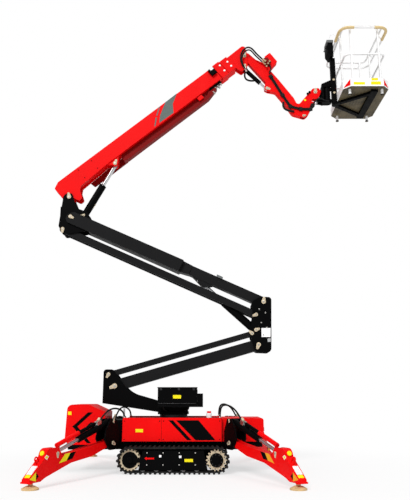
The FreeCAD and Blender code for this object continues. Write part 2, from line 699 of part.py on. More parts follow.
# Jib and basket
def jib():
    outline = [(1190, 7290, 40), (1300, 7300, 40), (1440, 7165, 60), (1580, 7100, 60), (1850, 6760, 300),
               (2120, 6385), (2185, 6235, 45), (2470, 6580, 40), (2575, 6590, 30), (2618, 6530, 30),
               (2590, 6440, 100), (2455, 6230),
               (2365, 6065, 50), (2305, 6000, 60), (2078, 6070, 90), (1968, 6255, 200), (1782, 6505, 60),
               (1640, 6535, 40), (1585, 6570, 30), (1612, 6710, 40), (1290, 7110), (1190, 7195, 40)]
    body = slab(outline, JIB_Y)
    block = slab([(1600, 7100), (1608, 7226, 15), (1703, 7303, 15), (1835, 7123, 15), (1765, 7040), (1660, 6900)],
                 JIB_Y + 10.0)
    eye_slot = slab([(1460, 6640), (1640, 6460), (1720, 6560), (1720, 6640), (1600, 6740)], JIB_EYE_Y + 4.0)
    low_slot = slab([(2200, 5900), (2380, 5900), (2430, 6080), (2720, 6400), (2500, 6450), (2225, 6080)],
                    LEVEL_EYE_Y + GAP)
    clevis = boss(LEVEL_PIVOT, 120.0, LEVEL_EYE_Y + GAP)
    swing = sector(LEVEL_PIVOT, 140.0, 203.0, -112.0, -50.0, JIB_Y + 1.0)
    body = cut(body, boss(JIB_PIVOT, 25.0 + RUN, 100.0), eye_slot, low_slot, clevis, swing)
    pins = [boss(LEVEL_PIVOT, 22.0, JIB_Y), boss(LEVEL_BASE, 16.0, JIB_Y)]
    return fuse(body, block, *pins)


def jib_hoses():
    """Two sleeved hoses side by side on the jib's near face, held by a clip at each turn."""
    y = -(JIB_Y + SEAT + HOSE_R)
    route = [(1709, 6813), (1912, 6441), (2050, 6213), (2234, 6164), (2410, 6160), (2448, 6236)]
    pieces = []
    for p, q in zip(route, route[1:]):
        length = distance(p, q)
        for side in (-HOSE_R - 1.0, HOSE_R + 1.0):
            a, b = along(p, q, 0.0, side), along(p, q, length, side)
            pieces.append(rod((a[0], y, a[1]), (b[0], y, b[1]), HOSE_R))
    for i, p in enumerate(route):
        before, following = route[max(i - 1, 0)], route[min(i + 1, len(route) - 1)]
        turn = (p[0] + following[0] - before[0], p[1] + following[1] - before[1])
        corners = [along(p, turn, t, side) for t, side in ((-CLIP[0], -CLIP[1]), (CLIP[0], -CLIP[1]),
                                                           (CLIP[0], CLIP[1]), (-CLIP[0], CLIP[1]))]
        pieces.append(plate(corners, -(JIB_Y + SEAT + 2 * HOSE_R + 4), -(JIB_Y + SEAT)))
    return fuse(*pieces)


def basket_bracket():
    """The levelled bracket that carries the rotator between two plates."""
    low, high = ROTATOR_Z
    x = LEVEL_PIVOT[0]
    tongue = fuse(slab([(x, 6475), (x, 6549), (2640, 6549), (2640, 6440), (x + 46, 6450)], LEVEL_EYE_Y),
                  boss(LEVEL_PIVOT, 38.0, LEVEL_EYE_Y))
    body = mid_box(2632.0, 2660.0, 78.0, low, high)
    ear = fuse(plate([(2540, 6322), (2540, 6370), (2645, 6430), (2645, low)], JIB_Y + GAP, JIB_Y + GAP + 16.0),
               disc(LEVEL_EYE, 30.0, JIB_Y + GAP, JIB_Y + GAP + 16.0))
    pin = disc(LEVEL_EYE, 12.0, LEVEL_EYE_Y + 6.0, JIB_Y + GAP + 16.0)
    plates = []
    for z in (low, high - CLEVIS_T):
        plates.append(mid_box(2650.0, ROTATOR_X, CLEVIS_Y, z, z + CLEVIS_T))
        plates.append(Part.makeCylinder(CLEVIS_Y, CLEVIS_T, V(ROTATOR_X, 0, z)))
    shaft = Part.makeCylinder(SHAFT_R, high - low - 20.0, V(ROTATOR_X, 0, low + 10.0))
    out = fuse(tongue, body, ear, mirror_y(ear), pin, mirror_y(pin), shaft, *plates)
    return cut(out, boss(LEVEL_PIVOT, 22.0 + RUN, 80.0))


def basket_support():
    """The turning drum, its post against the basket and the V frame under the floor."""
    low, high = ROTATOR_Z[0] + CLEVIS_T + GAP, ROTATOR_Z[1] - CLEVIS_T - GAP
    post_x = (BASKET_X[0] - 85.0, BASKET_X[0] - SEAT)
    top = FRAME_TOP_Z - SEAT
    bottom = top - FRAME_H
    drum = Part.makeCylinder(DRUM_R, high - low, V(ROTATOR_X, 0, low))
    arms = []
    for z in (low, high - 30.0):
        arms.append(mid_box(ROTATOR_X, post_x[0] + 10, POST_Y, z, z + 30.0))
    post = mid_box(post_x[0], post_x[1], POST_Y, bottom, PANEL_LOW - SEAT)
    gusset = slab([(ROTATOR_X - 95, ROTATOR_Z[1] + GAP), (post_x[0] + 5, ROTATOR_Z[1] + GAP),
                   (post_x[0] + 5, ROTATOR_Z[1] + 130), (ROTATOR_X - 95, ROTATOR_Z[1] + 45)], POST_Y - 15)
    spread = math.hypot(V_END[0] - post_x[0], V_END[1])
    turn = math.degrees(math.atan2(V_END[1], V_END[0] - post_x[0]))
    frame = []
    for side in (-1, 1):
        arm = box(0.0, spread, -V_ARM_Y, V_ARM_Y, bottom, top)
        for i in range(HOLE_N):
            x = 130.0 + i * (spread - 200.0) / (HOLE_N - 1)
            arm = cut(arm, Part.makeCylinder(HOLE_R, FRAME_H + 2, V(x, 0, bottom - 1)))
        arm.rotate(V(0, 0, 0), V(0, 0, 1), side * turn)
        arm.translate(V(post_x[0] + 30.0, 0, 0))
        frame.append(arm)
    frame.append(box(V_END[0] - 55, V_END[0] + 65, -V_END[1] - 55, V_END[1] + 55, bottom, top))
    out = fuse(drum, *arms, post, gusset, *frame)
    return cut(out, Part.makeCylinder(SHAFT_R + RUN, high - low + 2, V(ROTATOR_X, 0, low - 1)))


def basket_plan(inset_x, inset_y, cut_corner):
    """The basket's outline seen from above, with its corners cut off."""
    x0, x1 = BASKET_X[0] + inset_x, BASKET_X[1] - inset_x
    y1 = BASKET_Y - inset_y
    c = cut_corner
    return [(x0 + c, -y1), (x1 - c, -y1), (x1, -y1 + c), (x1, y1 - c), (x1 - c, y1), (x0 + c, y1), (x0, y1 - c),
            (x0, -y1 + c)]


def plan_slab(points, z0, z1):
    wire = Part.makePolygon([V(x, y, z0) for x, y in points + points[:1]])
    return Part.Face(wire).extrude(V(0, 0, z1 - z0))


def basket_floor():
    """A floor pan with toe boards all round and a foot near each corner."""
    t = TOE_T * (2 - math.sqrt(2))
    pan = plan_slab(basket_plan(0.0, 0.0, CORNER), FLOOR_Z - FLOOR_T, FLOOR_Z + TOE_H)
    inner = plan_slab(basket_plan(TOE_T, TOE_T, CORNER - t), FLOOR_Z, FLOOR_Z + TOE_H + 10)
    feet = []
    for x in (BASKET_X[0] + CORNER, BASKET_X[1] - CORNER):
        for y in (-BASKET_Y + CORNER, BASKET_Y - CORNER):
            place = V(x, y, FLOOR_Z - FLOOR_T - BASKET_FOOT[1])
            feet.append(Part.makeCylinder(BASKET_FOOT[0], BASKET_FOOT[1] + 1, place))
    return fuse(cut(pan, inner), *feet)


def rail_loop(out, z):
    """A tube all round the basket, set outward from the posts, each corner turned in short mitred lengths."""
    x0, x1 = BASKET_X[0] + RAIL_INSET[0] - out, BASKET_X[1] - RAIL_INSET[0] + out
    y1 = BASKET_Y - RAIL_INSET[1] + out
    r = RAIL_BEND + out
    path = [V((x0 + x1) / 2, -y1, z)]
    for centre_x, centre_y, start in ((x1 - r, -y1 + r, -90), (x1 - r, y1 - r, 0), (x0 + r, y1 - r, 90),
                                      (x0 + r, -y1 + r, 180)):
        for step in range(BEND_STEPS + 1):
            a = math.radians(start + 90 * step / BEND_STEPS)
            path.append(V(centre_x + r * math.cos(a), centre_y + r * math.sin(a), z))
    profile = Part.Wire(Part.makeCircle(RAIL_R, path[0], V(1, 0, 0)))
    loop = Part.BRepOffsetAPI.MakePipeShell(Part.makePolygon(path + path[:1]))
    loop.setTransitionMode(1)
    loop.add(profile)
    loop.build()
    loop.makeSolid()
    return loop.shape()


def basket_rails():
    """Top loop, a lower loop outside it, and a mid loop on square posts."""
    top = TOP_RAIL - RAIL_R
    parts = [rail_loop(0.0, top), rail_loop(LOOP_OUT, top - LOOP_DROP), rail_loop(0.0, MID_RAIL)]
    x0, x1 = BASKET_X[0] + RAIL_INSET[0], BASKET_X[1] - RAIL_INSET[0]
    y1 = BASKET_Y - RAIL_INSET[1]
    places = []
    for x in (x0 + POST_INSET, x1 - POST_INSET):
        places += [(x, -y1, 0, -1), (x, y1, 0, 1)]
    for x, out in ((x0, -1), (x1, 1)):
        for y in (-y1 * 0.5, y1 * 0.5):
            places.append((x, y, out, 0))
    for x, y, ox, oy in places:
        parts.append(box(x - POST_R, x + POST_R, y - POST_R, y + POST_R, FLOOR_Z + SEAT, top))
        strut = box(0.0, math.hypot(LOOP_OUT, LOOP_DROP), -STRUT_R, STRUT_R, -STRUT_R, STRUT_R)
        strut.rotate(V(0, 0, 0), V(0, 1, 0), math.degrees(math.atan2(LOOP_DROP, LOOP_OUT)))
        strut.rotate(V(0, 0, 0), V(0, 0, 1), math.degrees(math.atan2(oy, ox)))
        strut.translate(V(x, y, top))
        parts.append(strut)
    return parts[0].multiFuse(parts[1:])


def panel_box():
    """The upper control box, outside the rails, seated on the post."""
    x1 = BASKET_X[0] + RAIL_INSET[0] - LOOP_OUT - RAIL_R - SEAT
    return slab([(x1 - 110, PANEL_LOW + 80, 15), (x1 - 110, PANEL_LOW + 215, 20), (x1 - 68, PANEL_TOP, 10),
                 (x1, PANEL_TOP), (x1, PANEL_LOW), (x1 - 60, PANEL_LOW)], PANEL_Y)


save("chassis_frame", chassis_frame())
save("side_panels", side_panels())
save("engine_hood", engine_hood())
save("tank_hood", tank_hood())
save("slew_ring", slew_ring())
save("leg_brackets", solids(*four(leg_bracket())))
belt = track_belt()
save("track_belt_near", mirror_y(belt))
save("track_belt_far", belt)
save("track_frames", pair(track_frame()))
wheels = [sprocket(), idler()]
save("track_wheels", solids(*wheels, *[mirror_y(w) for w in wheels]))
rolls = rollers()
save("track_rollers", solids(*rolls, *[mirror_y(w) for w in rolls]))

save("turret_frame", turret_frame())
save("control_box", control_box())
save("valve_box", valve_box())
save("lower_arm", lower_arm())
save("lower_tie", lower_tie())
save("elbow_bracket", elbow_bracket())
save("sync_link", sync_link())
save("upper_arm", upper_arm())
save("upper_tie", upper_tie())
save("top_bracket", top_bracket())
save("boom_outer", boom_outer())
save("boom_tray", boom_tray())
save("boom_mid", boom_mid())
save("boom_inner", boom_inner())
save("jib", jib())
save("jib_hoses", jib_hoses())
save("basket_bracket", basket_bracket())
save("basket_support", basket_support())
save("basket_floor", basket_floor())
save("basket_rails", basket_rails())
save("basket_panel", panel_box())

# Cylinders: base eye, barrel, rod and rod eye radii, barrel length, stroke kept for closing, base pin radius
CYLINDERS = (
    ("arm_cyl", ARM_CYL_BASE, ARM_CYL_EYE, (44.0, 66.0, 32.0, 50.0, 700.0, 130.0, 25.0), EYE_Y),
    ("boom_cyl", BOOM_CYL_BASE, BOOM_CYL_EYE, (48.0, 62.0, 32.0, 34.0, 690.0, 290.0, 28.0), EYE_Y),
    ("jib_cyl", JIB_CYL_BASE, JIB_CYL_EYE, (36.0, 38.0, 20.0, 32.0, 400.0, 100.0, 20.0), JIB_EYE_Y),
    ("level_cyl", LEVEL_BASE, LEVEL_EYE, (28.0, 26.0, 14.0, 22.0, 300.0, 70.0, 16.0), LEVEL_EYE_Y),
)
for name, base, eye, size, half in CYLINDERS:
    barrel, ram = cylinder_pair(base, eye, size, half)
    save(name + "_barrel", barrel)
    save(name + "_rod", ram)

LEG_CYLINDER = (44.0, 48.0, 25.0, 36.0, 760.0, 250.0, LEG_CYL_PIN_R)
barrel, ram = cylinder_pair(LEG_CYL_TOP, LEG_CYL_EYE, LEG_CYLINDER, LEG_EYE_Y)
pieces = {"leg": leg(), "foot": foot(), "leg_barrel": barrel, "leg_rod": ram}
for piece, shape in pieces.items():
    placed = four(place_leg(shape))
    for corner, one in zip(("right_far", "right_near", "left_far", "left_near"), placed):
        save(piece + "_" + corner, one)
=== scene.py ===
import math

import bmesh
import bpy
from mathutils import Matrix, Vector


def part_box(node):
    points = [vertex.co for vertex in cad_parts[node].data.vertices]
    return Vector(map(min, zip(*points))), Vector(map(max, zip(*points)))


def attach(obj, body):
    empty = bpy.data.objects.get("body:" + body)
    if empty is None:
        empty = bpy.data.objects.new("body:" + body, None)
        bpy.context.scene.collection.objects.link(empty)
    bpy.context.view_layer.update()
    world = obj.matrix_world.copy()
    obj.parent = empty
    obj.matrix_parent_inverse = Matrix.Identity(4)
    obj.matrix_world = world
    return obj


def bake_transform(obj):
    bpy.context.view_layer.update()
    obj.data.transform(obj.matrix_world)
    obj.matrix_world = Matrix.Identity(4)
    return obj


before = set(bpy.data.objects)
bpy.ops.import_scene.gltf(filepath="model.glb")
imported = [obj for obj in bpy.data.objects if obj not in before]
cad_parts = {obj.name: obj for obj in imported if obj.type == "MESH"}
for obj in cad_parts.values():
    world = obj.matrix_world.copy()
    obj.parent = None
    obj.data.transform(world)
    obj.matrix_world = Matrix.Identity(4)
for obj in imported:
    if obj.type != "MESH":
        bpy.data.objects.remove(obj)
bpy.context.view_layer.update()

# The photograph's camera: on the near side, a little above the tracks, looking up at the booms
CAMERA_PLACE = (0.504, -10.0, 1.144)
CAMERA_PITCH = math.radians(13.58)
SENSOR = 36.0
FOCAL_SHARE = 1.2          # focal length over the picture's long side
PICTURE = (410, 500)

RED = (0.86, 0.0015, 0.002)
# A dark red: the tail lamps' own red, and on the boom's tray painted shade, the red paint as it
# looks in shadow
DEEP_AND_SHADED_RED = (0.20, 0.001, 0.001)
BLACK = (0.002, 0.002, 0.0022)
ARM_BLACK = (0.011, 0.011, 0.0115)
GREY = (0.16, 0.17, 0.17)
LIGHT_GREY = (0.42, 0.43, 0.43)
RUBBER = (0.006, 0.006, 0.0065)
CREAM = (0.62, 0.52, 0.36)
STEEL = (0.05, 0.05, 0.052)
CHROME = (0.66, 0.67, 0.68)
WHITE = (0.94, 0.94, 0.94)
YELLOW = (0.90, 0.78, 0.012)
ORANGE = (0.85, 0.36, 0.02)
TAN = (0.62, 0.44, 0.22)
OLIVE = (0.045, 0.035, 0.017)
PATCH_GREY = (0.13, 0.16, 0.15)
BRASS = (0.60, 0.47, 0.28)
ZINC = (0.62, 0.60, 0.56)
FOAM = (0.72, 0.55, 0.28)
DUST = (0.22, 0.18, 0.14)
RUBBER_DUST = (0.05, 0.045, 0.04)
SKIN = 0.0012              # thickness of a decal or painted stripe
WORN_EDGE = 0.005          # width of the rubbed paint along an edge
TREAD_PITCH = 60.0         # turns of the tread plate's bars a metre

BOOM_PIVOT = Vector((-1.845, 0.0, 4.474))
BOOM_TURN = math.radians(39.5)
BOOM_ALONG = Vector((math.cos(BOOM_TURN), 0.0, math.sin(BOOM_TURN)))
BOOM_UP = Vector((-math.sin(BOOM_TURN), 0.0, math.cos(BOOM_TURN)))

# Half widths of the frame's pieces
ARM_FACE = 0.080
SIDE_FACE = 0.135
BOOM_FACE = 0.108
JIB_FACE = 0.050
INNER_FACE = 0.074
PANEL_FACE = 0.450
HOOD_FACE = 0.370
LEG_ANGLE = math.radians(64.0)
LEG_HINGE = Vector((0.945, 0.600, 0.0))
LEG_HALF = 0.060
BRACKET_HALF = 0.086
CORNERS = {"right_far": (1, 1), "right_near": (1, -1), "left_far": (-1, 1), "left_near": (-1, -1)}


def add_object(name, data):
    """A new object of the scene."""
    made = bpy.data.objects.new(name, data)
    bpy.context.scene.collection.objects.link(made)
    return made


def make_camera():
    data = bpy.data.cameras.new("camera")
    data.sensor_fit = "AUTO"
    data.sensor_width = SENSOR
    data.lens = SENSOR * FOCAL_SHARE
    data.clip_end = 200.0
    camera = add_object("camera", data)
    camera.location = CAMERA_PLACE
    camera.rotation_euler = (math.radians(90.0) + CAMERA_PITCH, 0.0, 0.0)
    bpy.context.scene.camera = camera


def spot(px, py, y):
    """The point of the upright plane at y that the photograph shows at a pixel."""
    focal = FOCAL_SHARE * PICTURE[1]
    right = (px - PICTURE[0] / 2) / focal
    up = (PICTURE[1] / 2 - py) / focal
    ahead = math.cos(CAMERA_PITCH) - up * math.sin(CAMERA_PITCH)
    rise = math.sin(CAMERA_PITCH) + up * math.cos(CAMERA_PITCH)
    reach = (y - CAMERA_PLACE[1]) / ahead
    return Vector((CAMERA_PLACE[0] + right * reach, y, CAMERA_PLACE[2] + rise * reach))


class Graph:
    """Short calls for building one material's nodes."""

    def __init__(self, name):
        self.material = bpy.data.materials.new(name)
        self.material.use_nodes = True
        self.tree = self.material.node_tree
        self.shader = self.tree.nodes["Principled BSDF"]
        self.place = self.add("ShaderNodeTexCoord").outputs["Object"]

    def add(self, kind, **values):
        node = self.tree.nodes.new(kind)
        for key, value in values.items():
            setattr(node, key, value)
        return node

    def link(self, source, target):
        self.tree.links.new(source, target)

    def noise(self, scale, detail=3.0, stretch=None):
        node = self.add("ShaderNodeTexNoise")
        node.inputs["Scale"].default_value = scale
        node.inputs["Detail"].default_value = detail
        source = self.place
        if stretch:
            mapping = self.add("ShaderNodeMapping")
            mapping.inputs["Scale"].default_value = stretch
            self.link(self.place, mapping.inputs["Vector"])
            source = mapping.outputs["Vector"]
        self.link(source, node.inputs["Vector"])
        return node.outputs["Fac"]

    def ramp(self, source, low, high, start=0.0, end=1.0):
        """Maps source from the range low..high to start..end, kept inside it."""
        node = self.add("ShaderNodeMapRange")
        node.inputs["From Min"].default_value = low
        node.inputs["From Max"].default_value = high
        node.inputs["To Min"].default_value = start
        node.inputs["To Max"].default_value = end
        self.link(source, node.inputs["Value"])
        return node.outputs["Result"]

    def mix(self, factor, first, second):
        node = self.add("ShaderNodeMix", data_type="RGBA")
        self.link(factor, node.inputs["Factor"])
        for value, socket in ((first, node.inputs["A"]), (second, node.inputs["B"])):
            if isinstance(value, tuple):
                socket.default_value = (*value, 1.0)
            else:
                self.link(value, socket)
        return node.outputs["Result"]

    def math(self, operation, first, second=0.0):
        node = self.add("ShaderNodeMath", operation=operation)
        for value, socket in ((first, node.inputs[0]), (second, node.inputs[1])):
            if isinstance(value, (int, float)):
                socket.default_value = value
            else:
                self.link(value, socket)
        return node.outputs["Value"]

    def bump(self, height, distance, strength=0.5):
        node = self.add("ShaderNodeBump")
        node.inputs["Strength"].default_value = strength
        node.inputs["Distance"].default_value = distance
        self.link(height, node.inputs["Height"])
        self.link(node.outputs["Normal"], self.shader.inputs["Normal"])

    def colour(self, source):
        self.link(source, self.shader.inputs["Base Color"])

    def rough(self, source):
        self.link(source, self.shader.inputs["Roughness"])


def edge_wear(graph):
    """1 on outer edges in spots: only there a rounded normal leans off the face's own."""
    rounded = graph.add("ShaderNodeBevel", samples=4)
    rounded.inputs["Radius"].default_value = WORN_EDGE
    lean = graph.add("ShaderNodeVectorMath", operation="DOT_PRODUCT")
    graph.link(rounded.outputs["Normal"], lean.inputs[0])
    graph.link(graph.add("ShaderNodeNewGeometry").outputs["Normal"], lean.inputs[1])
    edge = graph.ramp(lean.outputs["Value"], 0.97, 0.80)
    spots = graph.ramp(graph.noise(30.0, 4.0), 0.50, 0.68)
    return graph.math("MULTIPLY", edge, spots)


def finish_paint(graph, base, worn, rough, dusty, gloss):
    """Faint dust, rubbed edges and orange peel over a paint's base colour."""
    if dusty:
        grime = graph.math("MULTIPLY", graph.ramp(graph.noise(5.0, 6.0), 0.55, 0.8), dusty)
        base = graph.mix(grime, base, DUST)
    base = graph.mix(edge_wear(graph), base, worn)
    graph.colour(base)
    graph.rough(graph.ramp(graph.noise(12.0, 5.0), 0.3, 0.7, rough - 0.05, rough + 0.07))
    graph.bump(graph.noise(260.0, 2.0), 0.0002, 0.12)
    graph.shader.inputs["Specular IOR Level"].default_value = gloss
    return graph.material


def paint(name, colour, worn, rough=0.42, dusty=0.02, gloss=0.08):
    graph = Graph(name)
    darker = tuple(c * 0.9 for c in colour)
    base = graph.mix(graph.ramp(graph.noise(1.7, 4.0), 0.35, 0.7), colour, darker)
    return finish_paint(graph, base, worn, rough, dusty, gloss)


def metal(name, colour, rough, brushed=None):
    graph = Graph(name)
    scratch = graph.noise(24.0, 3.0, stretch=brushed or (1.0, 1.0, 1.0))
    darker = tuple(c * 0.9 for c in colour)
    graph.colour(graph.mix(graph.ramp(scratch, 0.3, 0.7), colour, darker))
    graph.rough(graph.ramp(scratch, 0.3, 0.7, rough - 0.03, rough + 0.06))
    graph.bump(scratch, 0.0001, 0.05)
    graph.shader.inputs["Metallic"].default_value = 1.0
    return graph.material


def rubber(name, colour=RUBBER, dusty=0.25):
    graph = Graph(name)
    dust = graph.ramp(graph.noise(9.0, 6.0), 0.45, 0.75, 0.0, dusty)
    graph.colour(graph.mix(dust, colour, RUBBER_DUST))
    graph.rough(graph.ramp(graph.noise(40.0, 4.0), 0.3, 0.7, 0.62, 0.85))
    graph.bump(graph.noise(180.0, 3.0), 0.0006, 0.5)
    graph.shader.inputs["Specular IOR Level"].default_value = 0.2
    return graph.material


def chequer_plate(name, colour):
    """Underside of a tread plate: bars set crosswise, dulled by dirt, and white toe boards."""
    graph = Graph(name)
    split = graph.add("ShaderNodeSeparateXYZ")
    graph.link(graph.place, split.inputs["Vector"])
    x = graph.math("MULTIPLY", split.outputs["X"], TREAD_PITCH)
    y = graph.math("MULTIPLY", split.outputs["Y"], TREAD_PITCH)
    bars = graph.math("MULTIPLY", graph.math("SINE", graph.math("ADD", x, y)),
                      graph.math("SINE", graph.math("SUBTRACT", x, y)))
    raised = graph.ramp(bars, 0.25, 0.6)
    dirt = graph.ramp(graph.noise(4.0, 6.0), 0.40, 0.62)
    below = graph.mix(dirt, colour, tuple(c * 2.4 for c in colour))
    below = graph.mix(raised, below, tuple(min(1.0, c * 2.2) for c in colour))
    facing = graph.add("ShaderNodeSeparateXYZ")
    graph.link(graph.add("ShaderNodeNewGeometry").outputs["Normal"], facing.inputs["Vector"])
    upright = graph.math("LESS_THAN", graph.math("ABSOLUTE", facing.outputs["Z"]), 0.5)
    over = graph.math("GREATER_THAN", split.outputs["Z"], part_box("basket_floor")[0][2] + 0.002)
    board = graph.math("MULTIPLY", upright, over)
    graph.colour(graph.mix(board, below, WHITE))
    graph.bump(raised, 0.001, 0.6)
    graph.rough(graph.ramp(graph.noise(30.0, 4.0), 0.3, 0.7, 0.45, 0.65))
    graph.shader.inputs["Specular IOR Level"].default_value = 0.3
    return graph.material


MATERIALS = {
    "red": paint("red_paint", RED, (0.45, 0.02, 0.02)),
    "deep_and_shaded_red": paint("deep_and_shaded_red_paint", DEEP_AND_SHADED_RED, (0.2, 0.01, 0.01)),
    "black": paint("black_paint", BLACK, (0.03, 0.03, 0.03), rough=0.45, dusty=0.0, gloss=0.03),
    "arm": paint("arm_paint", ARM_BLACK, (0.05, 0.05, 0.05), rough=0.45, dusty=0.005,
                 gloss=0.05),
    "white": paint("white_paint", WHITE, (0.5, 0.5, 0.5)),
    "grey": paint("grey_paint", GREY, (0.35, 0.35, 0.35), rough=0.5),
    "light_grey": paint("light_grey_paint", LIGHT_GREY, (0.6, 0.6, 0.6), rough=0.5),
    "yellow": paint("yellow_film", YELLOW, (0.6, 0.5, 0.05), rough=0.5),
    "orange": paint("orange_film", ORANGE, (0.5, 0.2, 0.05), rough=0.5),
    "patch": paint("patch_film", PATCH_GREY, (0.3, 0.3, 0.3), rough=0.5),
    "cream": paint("cream_paint", CREAM, (0.30, 0.26, 0.18), rough=0.5, dusty=0.25),
    "steel": metal("dark_steel", STEEL, 0.45),
    "chrome": metal("chrome_rod", CHROME, 0.28),
    "zinc": metal("zinc_plate", ZINC, 0.35),
    "brass": metal("brass_fittings", BRASS, 0.35),
    "rubber": rubber("track_rubber"),
    "hose": rubber("hose_rubber", dusty=0.1),
    "pad": rubber("foot_pad", TAN, dusty=0.1),
    "foam": rubber("rail_foam", FOAM, dusty=0.05),
    "tread": chequer_plate("tread_plate", OLIVE),
}

# Which material each solid of the frame wears: the first row whose word is in its name
NODE_FINISH = (
    ("_barrel", "black"), ("_rod", "chrome"), ("_frame", "black"), ("side_panels", "red"),
    ("hood", "red"), ("slew_ring", "steel"), ("_bracket", "black"), ("track_belt", "rubber"),
    ("track_wheels", "cream"), ("track_rollers", "light_grey"), ("_box", "black"),
    # The boom's tray wears the dark red: painted shade of the red paint under the boom
    ("_arm", "arm"), ("_tie", "arm"), ("sync_link", "black"), ("boom_tray", "deep_and_shaded_red"),
    ("boom_", "red"), ("jib_hoses", "hose"), ("jib", "red"), ("basket_floor", "tread"),
    ("basket_rails", "white"), ("basket_", "black"), ("leg_", "red"), ("foot_", "pad"),
)


def finish_of(node):
    for word, finish in NODE_FINISH:
        if word in node:
            return finish
    raise ValueError(f"no finish for {node}")


def dress_nodes():
    for name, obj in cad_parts.items():
        obj.data.materials.clear()
        obj.data.materials.append(MATERIALS[finish_of(name)])


# Making pieces
def mesh_of(name, build):
    """A mesh filled by build(bm), with its faces turned outward."""
    bm = bmesh.new()
    build(bm)
    bmesh.ops.recalc_face_normals(bm, faces=bm.faces[:])
    mesh = bpy.data.meshes.new(name)
    bm.to_mesh(mesh)
    bm.free()
    return mesh


def shape(name, material, body, build, smooth=0.0):
    """A piece that rides a body, its mesh filled by build(bm), its edges rounded by smooth."""
    mesh = mesh_of(name, build)
    mesh.materials.append(MATERIALS[material])
    made = add_object(name, mesh)
    if smooth:
        edge = made.modifiers.new("bevel", "BEVEL")
        edge.width = smooth
        edge.segments = 2
        edge.limit_method = "ANGLE"
    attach(made, body)
    return made


def add_prism(bm, outline, offset):
    """A closed outline of points drawn out by an offset."""
    low = [bm.verts.new(p) for p in outline]
    high = [bm.verts.new(Vector(p) + offset) for p in outline]
    bm.faces.new(low)
    bm.faces.new(high)
    count = len(low)
    for i in range(count):
        bm.faces.new((low[i], low[(i + 1) % count], high[(i + 1) % count], high[i]))


def add_tube(bm, start, end, radius, sides=20):
    start, end = Vector(start), Vector(end)
    axis = (end - start).normalized()
    across = axis.orthogonal().normalized()
    other = axis.cross(across)
    ring = [start + (across * math.cos(a) + other * math.sin(a)) * radius
            for a in (2 * math.pi * i / sides for i in range(sides))]
    add_prism(bm, ring, end - start)


# Placing: each place turns (along, across, up) into a point of the object
def upright(along, across, up):
    return Vector((along, across, up))


def leg_place(corner):
    """Along the leg from its hinge, across its plane, and up."""
    sx, sy = CORNERS[corner]
    out = Vector((sx * math.cos(LEG_ANGLE), sy * math.sin(LEG_ANGLE), 0.0))
    side = Vector((-out.y, out.x, 0.0)) * (sx * sy)
    base = Vector((sx * LEG_HINGE.x, sy * LEG_HINGE.y, 0.0))
    return lambda along, across, up: (base + out * along + side * across
                                      + Vector((0.0, 0.0, up)))


def boom_place(along, across, up):
    return BOOM_PIVOT + BOOM_ALONG * along + BOOM_UP * up + Vector((0.0, across, 0.0))


def leg_spot(px, py):
    """Where the photograph's pixel lies on the near face of the left leg: along and up."""
    place = leg_place("left_near")
    base = place(0.0, 0.0, 0.0)
    out = (place(1.0, 0.0, 0.0) - base).normalized()
    side = (place(0.0, 1.0, 0.0) - base).normalized()
    camera = Vector(CAMERA_PLACE)
    look = spot(px, py, 0.0) - camera
    if side.dot(look) > 0:
        side = -side
    reach = (LEG_HALF - side.dot(camera - base)) / side.dot(look)
    hit = camera + look * reach
    return (out.dot(hit - base), hit.z)


def on_side(pixels, face):
    """Pixels of the photograph on an upright face, as (along, up) corners."""
    found = [spot(px, py, -face) for px, py in pixels]
    return [(p.x, p.z) for p in found]


def prism_on(bm, place, outline, low, high):
    """An outline of (along, up) corners drawn out across its plane from low to high."""
    first = [place(a, low, u) for a, u in outline]
    add_prism(bm, first, place(0.0, high, 0.0) - place(0.0, low, 0.0))


def film(bm, place, outline, face, thick=SKIN):
    """A thin film on both faces of a plate."""
    for side in (-1, 1):
        prism_on(bm, place, outline, side * face, side * (face + thick))


def box_on(bm, place, low, high):
    corners = [(low[0], low[2]), (high[0], low[2]), (high[0], high[2]), (low[0], high[2])]
    prism_on(bm, place, corners, low[1], high[1])


def tube_on(bm, place, start, end, radius, sides=20):
    add_tube(bm, place(*start), place(*end), radius, sides)


def studs(bm, place, centre, face, height, radius, sides=20):
    """A round stud on both faces of a plate, at an (along, up) centre."""
    along, up = centre
    for side in (-1, 1):
        tube_on(bm, place, (along, side * face, up), (along, side * (face + height), up),
                radius, sides)


def mark(name, material, body, face, pixels):
    """A film on both sides of an upright plate, outlined by pixels of the photograph."""
    outline = on_side(pixels, face)
    shape(name, material, body, lambda bm: film(bm, upright, outline, face))


def square_at(px, py, size):
    return ((px, py), (px + size, py), (px + size, py + size), (px, py + size))


# Pins in the side view: body, centre, face, size and heading of the holder
PINS = (
    ("turret", (-0.946, 1.284), SIDE_FACE, 0.040, 200),
    ("turret", (-1.050, 1.467), SIDE_FACE, 0.030, 240),
    ("elbow", (1.378, 1.942), SIDE_FACE, 0.036, 250),
    ("elbow", (1.274, 2.125), SIDE_FACE, 0.030, 140),
    ("elbow", (1.474, 2.647), SIDE_FACE, 0.036, 80),
    ("elbow", (1.348, 2.433), SIDE_FACE, 0.030, 200),
    ("elbow", (1.340, 2.182), SIDE_FACE, 0.030, 20),
    ("upper_arm", (-1.800, 4.112), 0.163, 0.032, 330),
    ("top_bracket", (-1.926, 3.898), SIDE_FACE, 0.032, 270),
    ("top_bracket", (-1.845, 4.474), SIDE_FACE, 0.036, 100),
    ("top_bracket", (-1.620, 4.118), SIDE_FACE, 0.034, 30),
    ("boom_outer", (-1.080, 5.111), 0.091, 0.034, 70),
    ("boom_inner", (1.230, 7.229), INNER_FACE, 0.034, 80),
    ("boom_inner", (1.232, 7.000), INNER_FACE, 0.030, 80),
    ("jib", (1.636, 6.586), JIB_FACE, 0.030, 340),
    ("jib", (2.514, 6.512), JIB_FACE, 0.034, 80),
    ("jib", (2.282, 6.042), JIB_FACE, 0.022, 10),
)
